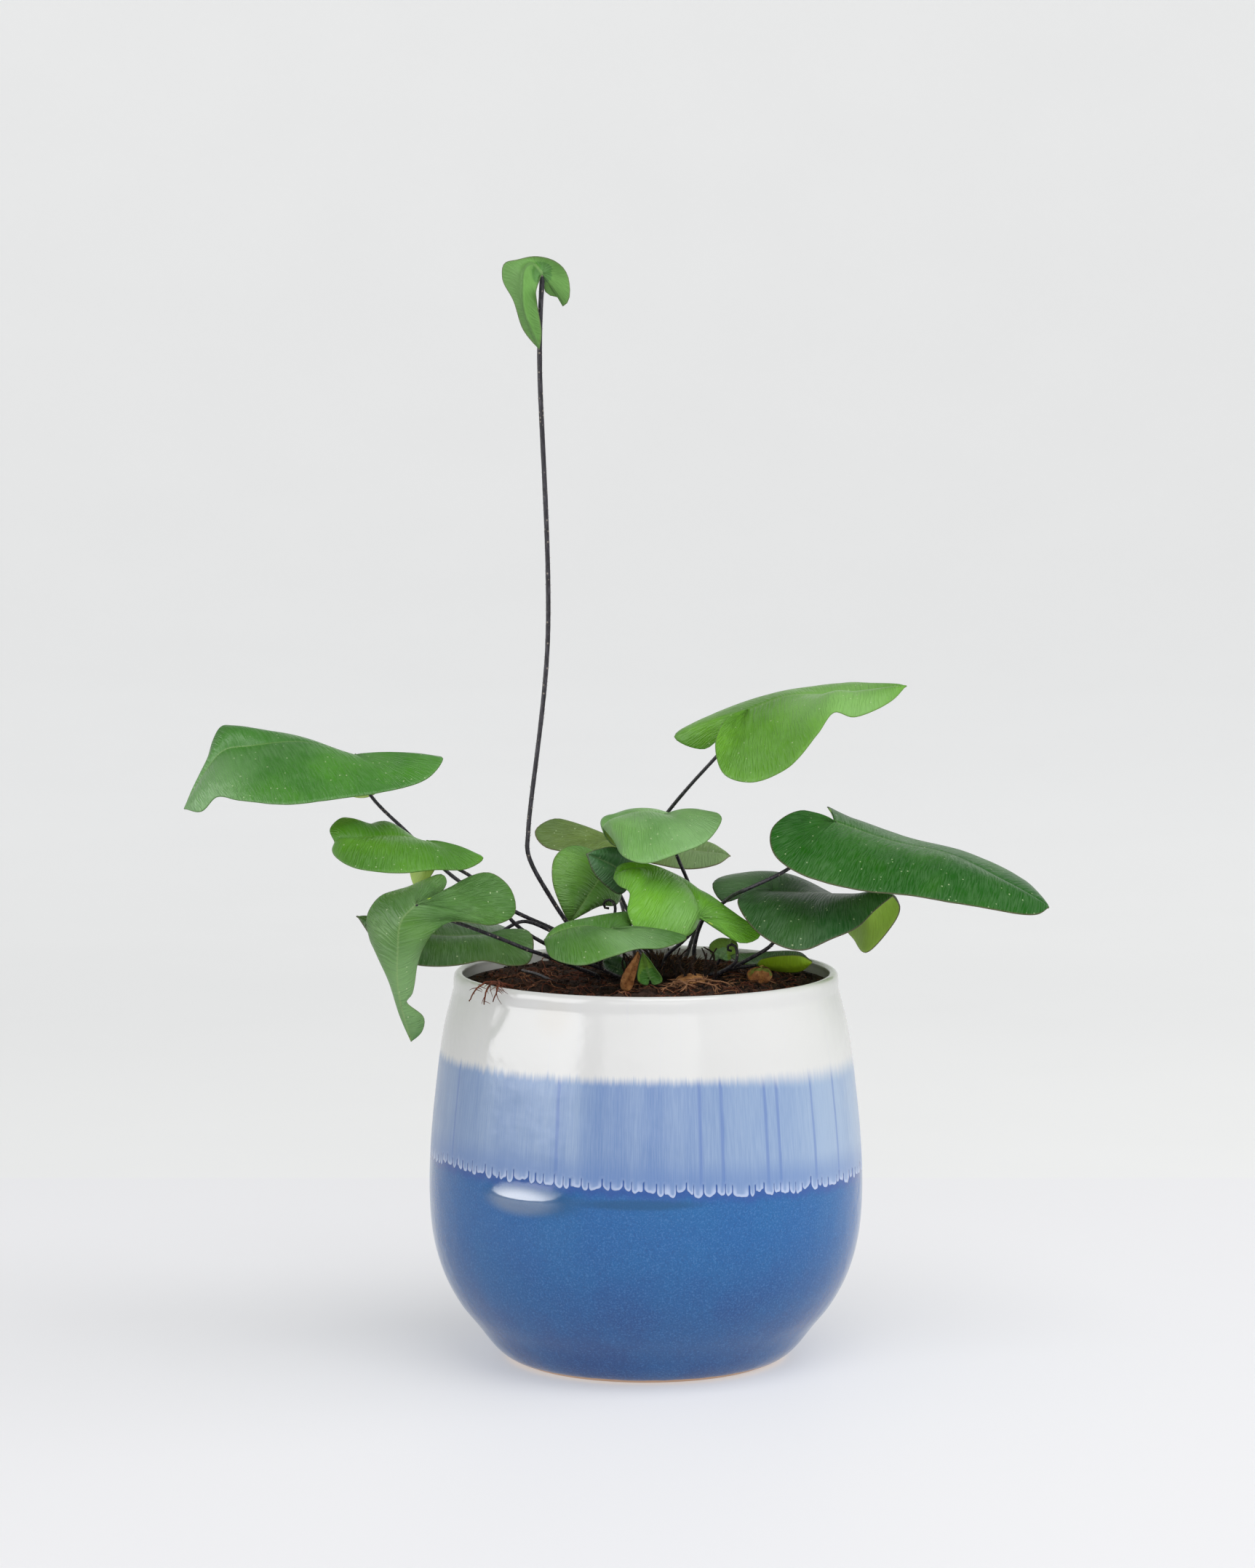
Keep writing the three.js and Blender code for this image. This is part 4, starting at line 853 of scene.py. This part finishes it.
def make_soil():
    inside = [[r - GAP, h + GAP] for r, h in reversed(POT_INSIDE) if h < SOIL_LEVEL]
    edge = [RIM_INNER + GAP / 2, SOIL_LEVEL]
    top = [[share * edge[0], SOIL_LEVEL] for share in np.linspace(1, 0, 76)[1:-1]]
    profile = [[0, FLOOR_THICKNESS + GAP], *inside, edge, *top, [0, SOIL_LEVEL]]
    points, faces = revolve(profile, SOIL_SEGMENTS)
    upper = points[:, 2] > SOIL_LEVEL - 0.01
    ground = points[upper]
    radius = np.hypot(ground[:, 0], ground[:, 1])
    near_wall = 1 - smoothstep(RIM_INNER - 2.5, RIM_INNER, radius)
    bumps = 0.55 * grain(ground, 2.6, 3) + 0.4 * grain(ground, 1.1, 8) + 0.25 * grain(ground, 0.55, 5)
    ground[:, 2] = soil_height(ground[:, 0], ground[:, 1]) + bumps * near_wall - 0.1
    points[upper] = ground
    skin = fibrous("soil_matter", SOIL_DARK, SOIL_WARM, 0.5, 0.35, 0.95)
    settle(make_piece("soil_body", points, faces, [skin]), "soil", "soil")


def scatter(draw, reach):
    """A random place in the round of that radius."""
    radius = reach * math.sqrt(draw.random())
    angle = draw.uniform(0, 2 * math.pi)
    return radius * math.cos(angle), radius * math.sin(angle)


def make_litter():
    """Crumbs, chips and root fibres scattered over the soil."""
    draw = random.Random(17)
    heap = Heap()
    cube = [(x, y, z) for z in (-1, 1) for y in (-1, 1) for x in (-1, 1)]
    cube_faces = [(0, 2, 3, 1), (4, 5, 7, 6), (0, 1, 5, 4), (2, 6, 7, 3), (0, 4, 6, 2), (1, 3, 7, 5)]
    for _ in range(CRUMBS):
        x, y = scatter(draw, RIM_INNER - 2.4)
        size = draw.choice((0.3, 0.4, 0.5, 0.7, 1.0))
        spin = draw.uniform(0, math.pi)
        shape = []
        for corner in cube:
            px, py, pz = [size * c * draw.uniform(0.35, 0.75) for c in corner]
            shape.append((x + px * math.cos(spin) - py * math.sin(spin),
                          y + px * math.sin(spin) + py * math.cos(spin),
                          float(soil_height(x, y)) + 0.15 + pz))
        heap.add(shape, cube_faces, draw.choice((0, 0, 0, 1, 1, 2)))
    for _ in range(FIBRES):
        x, y = scatter(draw, RIM_INNER - 5)
        heading = draw.uniform(0, 2 * math.pi)
        length = draw.uniform(3, 9)
        line = []
        for i in range(6):
            share = i / 5
            px = x + length * share * math.cos(heading)
            py = y + length * share * math.sin(heading)
            if math.hypot(px, py) > RIM_INNER - 2.5:
                break
            heading += draw.uniform(-0.5, 0.5)
            rise = 0.5 + 0.6 * math.sin(math.pi * share) + draw.uniform(-0.15, 0.15)
            line.append((px, py, float(soil_height(px, py)) + rise))
        if len(line) > 2:
            heap.add(*tube(catmull(line, 2), draw.uniform(0.07, 0.16), 4), draw.choice((1, 2, 3)))
    litter = heap.piece("soil_litter", [
        fibrous("crumb_dark", srgb("1d1411"), srgb("3a271f"), 0.8, 0.2),
        fibrous("crumb_warm", srgb("3f2a20"), srgb("6a4634"), 0.8, 0.2),
        fibrous("fibre_red", dim(ROOT_RED, 0.7), ROOT_RED, 0.8, 0.1),
        fibrous("fibre_tan", ROOT_RED, ROOT_TAN, 0.8, 0.1),
    ], smooth=False)
    settle(litter, "soil")


def make_rhizome():
    """The knobbly rhizome with its scales and the stubs of old stalks."""
    rows, columns = 44, 88
    points = []
    for i in range(1, rows):
        polar = math.pi * i / rows
        for k in range(columns):
            angle = 2 * math.pi * k / columns
            across = math.sin(polar)
            points.append((across * math.cos(angle), across * math.sin(angle), math.cos(polar)))
    p = np.array(points)
    knob = 1 + 0.07 * np.sin(7 * p[:, 0] + 2) * np.cos(5 * p[:, 1]) + 0.05 * np.sin(9 * p[:, 2])
    knob += 0.05 * grain(p, 0.16, 4)
    p = p * knob[:, None] * np.array(RHIZOME_SIZE)
    p += np.array([CROWN[0], CROWN[1], SOIL_LEVEL + 1])
    p[:, 2] = np.maximum(p[:, 2], SOIL_LEVEL - 0.3)
    end = (rows - 1) * columns - 1
    ends = [tuple(range(columns)), tuple(range(end, end - columns, -1))]
    heap = Heap()
    heap.add(p, ends + band_faces(0, rows - 1, columns, inward=True), 0)
    # chaffy scales lie along it and stand up round the stalks
    draw = random.Random(5)
    upper = p[p[:, 2] > SOIL_LEVEL + 0.5]
    for _ in range(SCALES):
        root = upper[draw.randrange(len(upper))]
        out = root - np.array([CROWN[0], CROWN[1], SOIL_LEVEL - 1])
        out = unit(out) + [draw.uniform(-0.6, 0.6) for _ in range(3)]
        out[2] = abs(out[2]) + 0.2
        tip = root + unit(out) * draw.uniform(1.2, 3.2)
        heap.add(*spike(root - 0.2 * out, tip, draw.uniform(0.12, 0.3)), draw.choice((1, 1, 2)))
    # thin hairy stubs of old stalks stand among the living ones
    for _ in range(STUBS):
        foot = np.array([draw.uniform(-4, 18), draw.uniform(-5, 6), SOIL_LEVEL])
        lean = np.array([draw.gauss(0, 2.5), draw.gauss(0, 1.5), draw.uniform(5, 10.5)])
        bend = np.array([draw.gauss(0, 1.2), draw.gauss(0, 0.8), 0])
        curve = Curve([foot, foot + 0.4 * lean + bend, foot + 0.8 * lean + bend, foot + lean])
        heap.add(*tube(curve.at(np.linspace(0, 1, 14)), np.linspace(0.4, 0.2, 14), 7), 0)
        for _ in range(STUB_HAIRS):
            root = curve.at(draw.random())
            out = np.array([draw.gauss(0, 1), draw.gauss(0, 1), draw.uniform(0, 1)])
            tip = root + unit(out) * draw.uniform(0.7, 1.6)
            heap.add(*spike(root, tip, 0.06), draw.choice((1, 2)))
    rhizome = heap.piece("rhizome_body", [
        fibrous("rhizome_bark", srgb("1c1412"), srgb("3a2a22"), 0.5, 0.3),
        fibrous("scale_brown", dim(SCALE_BROWN, 0.6), SCALE_BROWN, 0.6, 0.1),
        fibrous("scale_pale", SCALE_BROWN, srgb("8a6a4c"), 0.6, 0.1),
    ])
    settle(rhizome, "bark", "rhizome")


# ---- blades
UPPER, UNDER, RIM = 0, 1, 2     # the materials of a blade


def blade_line(frond, part):
    """The midrib or one margin of a blade, from its base to its tip."""
    return Curve([frond["base"], *frond[part], frond["tip"]])


def blade_half(frond, side, lobe_rows, rib_rows, columns):
    """One half of a blade as rows of points, each row a vein from the midrib to the margin."""
    lobe = frond["lobe"][side]
    hand = -frond["turn"] if side == 0 else frond["turn"]
    rib = blade_line(frond, "rib")
    edge = blade_line(frond, "near" if side == 0 else "far")
    lead = np.arange(lobe_rows + 1) / lobe_rows
    rest = np.arange(1, rib_rows + 1) / rib_rows
    along = np.concatenate([np.zeros(lobe_rows + 1), rest])
    share = np.concatenate([lobe * lead, lobe + (1 - lobe) * rest])
    inner, outer = rib.at(along), edge.at(share)
    reach = outer - inner
    before = np.maximum(np.arange(len(share)) - 1, 0)
    after = np.minimum(np.arange(len(share)) + 1, len(share) - 1)
    span = share[after] - share[before]
    run = (outer[after] - outer[before]) / span[:, None]
    raw = hand * np.cross(run, reach)
    # each vein arches along the surface's normal, evened out over its neighbours
    spread = 0.16
    apart = np.abs(share[:, None] - share[None, :])
    weight = np.where(apart < spread, 1 + np.cos(np.pi * apart / spread), 0) * span[None, :]
    swell = units(weight @ raw)
    size = np.linalg.norm(reach, axis=1)
    breadth = np.sin(np.pi / 2 * np.minimum(1, size / (0.6 * size.max())))
    past = 0.4 + 0.6 * smoothstep(0.15, lobe + 0.1, share)
    swell *= (frond["arch"][side] * breadth * past)[:, None]
    across = np.linspace(0, 1, columns + 1)
    points = inner[:, None] * (1 - across)[None, :, None] + outer[:, None] * across[None, :, None]
    points = points + swell[:, None] * np.sin(np.pi * across)[None, :, None]
    # the veins of the far half are numbered downward, well apart from those of the near half
    fan = share * edge.length if side == 0 else -share * edge.length - 40
    return points, fan, size, across


def blade_sheet(frond, lobe_rows, rib_rows, columns):
    """The middle surface of a blade, with the coordinates that its veins and margin follow."""
    points, marks, faces, fans, reaches = [], [], [], [], []
    spine = {}
    for side in (0, 1):
        rows, fan, size, across = blade_half(frond, side, lobe_rows, rib_rows, columns)
        last = len(rows) - 1
        upright = (side == 0) == (frond["turn"] > 0)
        index = np.zeros((last + 1, columns + 1), int)
        for r in range(last + 1):
            for c in range(columns + 1):
                if c > 0 and r < last:
                    index[r, c] = len(points)
                    points.append(rows[r, c])
                    marks.append((across[c], size[r] * across[c]))
                    continue
                key = last if r == last else max(r, lobe_rows)
                if key not in spine:
                    spine[key] = len(points)
                    points.append(rows[r, c])
                    marks.append((0.0, 0.0))
                index[r, c] = spine[key]
        for r in range(1, last):
            for c in range(columns):
                corners = [(r, c), (r, c + 1), (r + 1, c + 1), (r + 1, c)]
                if not upright:
                    corners.reverse()
                ids, kept = [], []
                for corner in corners:
                    if index[corner] not in ids:
                        ids.append(index[corner])
                        kept.append(corner)
                if len(ids) < 3:
                    continue
                faces.append(tuple(int(i) for i in ids))
                fans.append([(fan[a], across[b]) for a, b in kept])
                reaches.append([(size[a] * across[b], size[a] * (1 - across[b])) for a, b in kept])
    return np.array(points), faces, fans, reaches, np.array(marks)


def vertex_normals(points, faces):
    normals = np.zeros_like(points)
    for face in faces:
        a, b, c = points[face[0]], points[face[1]], points[face[-1]]
        normals[list(face)] += np.cross(b - a, c - a)
    return units(normals)


def both_sides(rows):
    """Each face's values, then those of the same faces turned over."""
    return [uv for face in rows for uv in face] + [uv for face in rows for uv in reversed(face)]


def make_blade(frond, name, materials, slot, fine, groove=0.22, ripple=0.1):
    """A blade of real thickness, with its sunken midrib, rippled margin and rounded edge.

    Returns where its stalk joins it and the direction that its upper side faces there.
    """
    lobe_rows, rib_rows, columns = fine
    points, faces, fans, reaches, marks = blade_sheet(frond, lobe_rows, rib_rows, columns)
    normals = vertex_normals(points, faces)
    across, rib = marks[:, 0], marks[:, 1]
    relief = -groove * np.exp(-(rib / 0.8) ** 2)
    small, broad = grain(points, 3.5, 2), grain(points, 9, 6)
    relief += ripple * across ** 2 * small + 2.2 * ripple * across * broad
    points = points + normals * relief[:, None]
    normals = vertex_normals(points, faces)
    thickness = BLADE_THICKNESS * (1 - 0.35 * across ** 3)
    top = points + normals * thickness[:, None] / 2
    bottom = points - normals * thickness[:, None] / 2
    count = len(points)
    # the edges that only one face has are the margin
    border = {}
    for face in faces:
        for a, b in zip(face, face[1:] + face[:1]):
            if (b, a) in border:
                del border[(b, a)]
            else:
                border[(a, b)] = True
    outward = np.zeros_like(points)
    for a, b in border:
        push = np.cross(points[b] - points[a], normals[a])
        outward[a] += push
        outward[b] += push
    rim_of = {}
    rim = []
    for a in sorted({v for pair in border for v in pair}):
        rim_of[a] = 2 * count + len(rim)
        rim.append(points[a] + 0.4 * thickness[a] * unit(outward[a]))
    body = faces + [tuple(i + count for i in reversed(face)) for face in faces]
    # the underside has the upper side's look close to the stalk
    apart = [min(math.dist(points[i], frond["base"]) for i in face) for face in faces]
    index = [UPPER] * len(faces) + [UPPER if gap < SHOULDER else UNDER for gap in apart]
    fan_uv, reach_uv = both_sides(fans), both_sides(reaches)
    for a, b in border:
        middle = (rim_of[a], rim_of[b])
        for upper, lower in (((a, b), middle), (middle, (a + count, b + count))):
            body.append((upper[0], lower[0], lower[1], upper[1]))
            index.append(RIM)
            fan_uv += [(0, 1)] * 4
            reach_uv += [(9, 0)] * 4
    everything = np.vstack([top, bottom, rim])
    uvs = {"fan": fan_uv, "reach": reach_uv}
    settle(make_piece(name + "_fine", everything, body, materials, uvs, index), slot, name)
    root = int(np.argmin(np.linalg.norm(points - np.array(frond["base"]), axis=1)))
    return np.array(frond["base"], float), normals[root]


def fineness(frond):
    """Rows in the lobe, rows along the midrib and columns for a blade of its size."""
    length = max(blade_line(frond, "rib").length, blade_line(frond, "near").length * 0.55)
    lobe_rows = max(8, int(min(34, length * 0.6)))
    rib_rows = max(12, int(min(90, length * 1.3)))
    columns = max(6, int(min(26, 8 + length * 0.3)))
    return lobe_rows, rib_rows, columns


# ---- stalks
def stalk_path(foot, points, top):
    """The line of a stalk: upright in the soil, then through its points."""
    x, y = foot
    rise = [[x, y, SOIL_LEVEL + step] for step in (-HOLE_DEPTH, -1, 1)]
    return Curve([*rise, *points, top])


def make_stalk(name, curve, draw, skins, radius=STALK_RADIUS, end=None, taper=STALK_TAPER):
    """A wiry stalk with short pale hairs and scales, denser toward its foot."""
    count = max(16, int(curve.length * 0.9))
    share = np.linspace(0, 1, count)
    line = curve.at(share)
    size = radius * (1 - (1 - taper) * share) * (1 + 0.06 * grain(line, 2.2, 7))
    if end is not None:
        line = np.vstack([line, end])
        size = np.append(size, 0.25)
    heap = Heap()
    heap.add(*tube(line, size, 12), 0)
    for _ in range(int(curve.length * HAIRS)):
        at = draw.random() ** 1.4
        root = curve.at(at)
        if root[2] < SOIL_LEVEL:
            continue
        run = unit(curve.at(min(1, at + 0.01)) - root)
        side = np.array([draw.gauss(0, 1) for _ in range(3)])
        side = unit(side - side.dot(run) * run)
        skin = radius * (1 - (1 - taper) * at)
        length = draw.uniform(0.35, 1.0) * (1.3 - 0.7 * at)
        tip = root + side * (skin + 0.45 * length) + run * length * draw.uniform(0.3, 0.9)
        heap.add(*spike(root + side * skin * 0.8, tip, draw.uniform(0.035, 0.07)), 1)
    settle(heap.piece(name + "_fine", skins), "stalk", name)


def make_fronds():
    """The blades and stalks of all the fronds, the croziers and the old stem."""
    skins = [stalk_skin(), fibrous("stalk_hair", dim(STALK_HAIR, 0.6), STALK_HAIR, 1.0, 0.05)]
    draw = random.Random(23)
    for frond in FRONDS:
        name = frond["name"]
        green, under, bloom, brown = LOOKS[name]
        green = srgb(green)
        gloss = GLOSS.get(name, PLAIN_GLOSS)
        materials = [
            leaf_upper("leaf_" + name, green, bloom, brown, gloss, SHEEN_SPOTS.get(name)),
            leaf_under("under_" + name, srgb(under), brown),
            leaf_rim("margin_" + name, green, brown),
        ]
        slot = next(row["material_slot"] for row in frame["record"]["subparts"]
                    if row["node"] == "frond_" + name + "_blade")
        base, normal = make_blade(frond, "frond_" + name + "_blade", materials, slot, fineness(frond))
        top = frond.get("top")
        if top is None:
            top = base - normal * (SEAT_DEPTH - frond.get("seat", 0))
        curve = stalk_path(frond["foot"], frond["stalk"], top)
        make_stalk("frond_" + name + "_stalk", curve, draw, skins, end=base - normal * SEAT_OVERLAP,
                   taper=frond.get("taper", STALK_TAPER))
    for crozier in CROZIERS:
        make_stalk(crozier["name"], crozier_path(crozier), draw, skins, taper=0.6)
    make_stalk("old_stem", Curve(OLD_STEM), draw, skins, radius=0.5)


def crozier_path(crozier):
    """The line of a young frond: up from its foot into a coil that tightens."""
    (x, y, z), coil = crozier["middle"], crozier["coil"]
    turns = []
    for i in range(6):
        angle = i * math.pi / 3.2
        radius = coil * (1 - 0.1 * i)
        turns.append([x + radius * math.cos(angle), y + 0.25 * i, z + radius * math.sin(angle)])
    return stalk_path(crozier["foot"], [[x + coil * 0.9, y, z - 3.5], *turns[:-1]], turns[-1])


def make_dried():
    upper = fibrous("dry_upper", DRY_BROWN, srgb("b98350"), 0.25, 0.25, 0.75)
    lower = fibrous("dry_under", DRY_GREEN, DRY_BROWN, 0.2, 0.25, 0.8)
    rim = fibrous("dry_rim", srgb("4a2c1a"), DRY_BROWN, 0.6, 0.1)
    for leaf in DRIED:
        make_blade(leaf, leaf["name"], [upper, lower, rim], "dry_leaf", (10, 26, 8), 0.1, 0.35)


def make_roots():
    skins = {
        "root_sprig": fibrous("root_dark", dim(ROOT_RED, 0.5), ROOT_RED, 0.6, 0.12),
        "root_tuft": fibrous("root_pale", dim(ROOT_TAN, 0.7), dim(ROOT_TAN, 1.2), 0.6, 0.12),
    }
    draw = random.Random(11)
    share = np.linspace(0, 1, 24)
    for root in ROOTS:
        name = root["name"]
        heap = Heap()
        for branch in root["branches"]:
            line = Curve(branch).at(share)
            line += 0.25 * np.stack([grain(line, 1.6, seed) for seed in (1, 4, 9)], -1)
            heap.add(*tube(line, root["radius"] * (0.9 - 0.55 * share), 8))
            for _ in range(root["twigs"]):
                start = line[draw.randrange(3, 22)]
                away = unit(np.array([draw.gauss(0, 1), draw.gauss(0, 1), draw.gauss(0, 0.35)]))
                bend = np.array([draw.gauss(0, 0.5), draw.gauss(0, 0.5), -0.35])
                reach = draw.uniform(2.0, 4.0)
                steps = (0, 0.35, 0.7, 1)
                twig = [start + away * reach * t + bend * reach * t * t * 0.5 for t in steps]
                heap.add(*tube(catmull(twig, 3), np.linspace(0.14, 0.05, 10), 5))
        settle(heap.piece(name + "_fine", [skins[name]]), "root", name)


# ---- stage, light and camera
BACKDROP = 259.0                # how far behind the pot the floor's tone turns to the backdrop's
STAGE_GLOW = (0.38, 0.46)       # soft light given back by the floor near the pot and far from it
DAYLIGHT = (0.97, 0.98, 1.0)
WORLD_STRENGTH = 0.34
FLOOR_RADIUS = 2200
WALL_BEND = 900                 # radius of the turn from the floor to the wall
WALL_HEIGHT = 1300
STAGE_SIDES = 96
LAMP_SHADE = srgb("6e6e72")     # the floor's tone where the lamps would burn it out
CAMERA_PLACE = (-0.0051, -1.227, 0.280)
CAMERA_PITCH = 5.62             # degrees downward
LENS = 102.8
FRAME_HEIGHT = 36               # of the sensor, which the lens goes with


def make_stage():
    """A pale floor that turns up into a round wall, far from the plant on every side."""
    profile = [[400, 0], [1200, 0], [FLOOR_RADIUS, 0]]
    for i in range(1, 13):
        angle = math.pi / 2 * i / 12
        profile.append([FLOOR_RADIUS + WALL_BEND * math.sin(angle), WALL_BEND * (1 - math.cos(angle))])
    profile.append([FLOOR_RADIUS + WALL_BEND, WALL_HEIGHT])
    angles = 2 * np.pi * np.arange(STAGE_SIDES) / STAGE_SIDES
    points = [[0, 0, 0]]
    for radius, height in profile:
        points += [[radius * math.cos(a), radius * math.sin(a), height] for a in angles]
    faces = [(0, 1 + k, 1 + (k + 1) % STAGE_SIDES) for k in range(STAGE_SIDES)]
    faces += band_faces(1, len(profile), STAGE_SIDES, inward=True)
    s = Shader("floor_paint", 0.6, Specular_IOR_Level=0.2)
    place = s.place()
    _, y, _ = s.split(place)
    floor_tone = s.mix(s.noise(place, 0.004, 2), srgb("bebdbf"), srgb("c1c0c1"))
    wall_tone = s.mix(s.noise(place, 0.01, 3), srgb("bfbfbc"), srgb("c4c4c1"))
    tone = s.mix(s.remap(y, BACKDROP, BACKDROP + 6), floor_tone, wall_tone)
    # the floor under the lamps is greyer, so that it stays even from the other sides too
    far = s.node("VectorMath", {"operation": "LENGTH"}, place).outputs["Value"]
    under_lamps = s.times(s.remap(far, 450, 1300), s.remap(far, 1700, 2300, 1, 0))
    under_lamps = s.times(under_lamps, s.remap(y, 200, 900, 1, 0))
    tone = s.mix(under_lamps, tone, LAMP_SHADE)
    s.feed(s.surface.inputs["Emission Color"], DAYLIGHT)
    s.feed(s.surface.inputs["Emission Strength"], s.remap(far, 300, 1600, *STAGE_GLOW))
    floor = make_piece("studio_floor", points, faces, [s.paint(tone)])


def soft_light(name, place, target, width, height, power, diffuse=True, shine=True):
    """A rectangular lamp, in metres and watts. diffuse=False leaves only its reflections."""
    data = bpy.data.lights.new(name, "AREA")
    data.shape = "RECTANGLE"
    data.size, data.size_y = width, height
    data.energy = power
    lamp = bpy.data.objects.new(name, data)
    lamp.location = place
    lamp.visible_diffuse, lamp.visible_glossy = diffuse, shine
    aim = Vector(target) - Vector(place)
    lamp.rotation_euler = aim.to_track_quat("-Z", "Y").to_euler()
    bpy.context.scene.collection.objects.link(lamp)


def make_light():
    world = bpy.data.worlds.new("studio")
    world.use_nodes = True
    sky = world.node_tree.nodes["Background"]
    sky.inputs["Color"].default_value = (*DAYLIGHT, 1)
    sky.inputs["Strength"].default_value = WORLD_STRENGTH
    bpy.context.scene.world = world
    soft_light("window_left", (-1.45, -0.6, 0.68), (0, 0, 0.1), 1.9, 1.2, 24, diffuse=False)
    soft_light("ceiling", (0.3, -0.75, 1.6), (0, 0, 0.1), 1.3, 1.1, 14)
    soft_light("window_right", (1.5, 0.0, 0.8), (0, 0, 0.12), 1.4, 1.1, 10, shine=False)
    soft_light("room_front", (0.1, -2.1, 0.7), (0, 0, 0.05), 2.2, 1.2, 10)


def make_camera():
    data = bpy.data.cameras.new("camera")
    data.sensor_fit = "VERTICAL"
    data.sensor_height = FRAME_HEIGHT
    data.lens = LENS
    data.clip_end = 20
    camera = bpy.data.objects.new("camera", data)
    camera.location = CAMERA_PLACE
    camera.rotation_euler = (math.radians(90 - CAMERA_PITCH), 0, 0)
    bpy.context.scene.collection.objects.link(camera)
    bpy.context.scene.camera = camera


bpy.context.scene.view_settings.view_transform = "Standard"
make_camera()
make_stage()
make_light()
make_pot()
make_soil()
make_litter()
make_rhizome()
make_fronds()
make_dried()
make_roots()
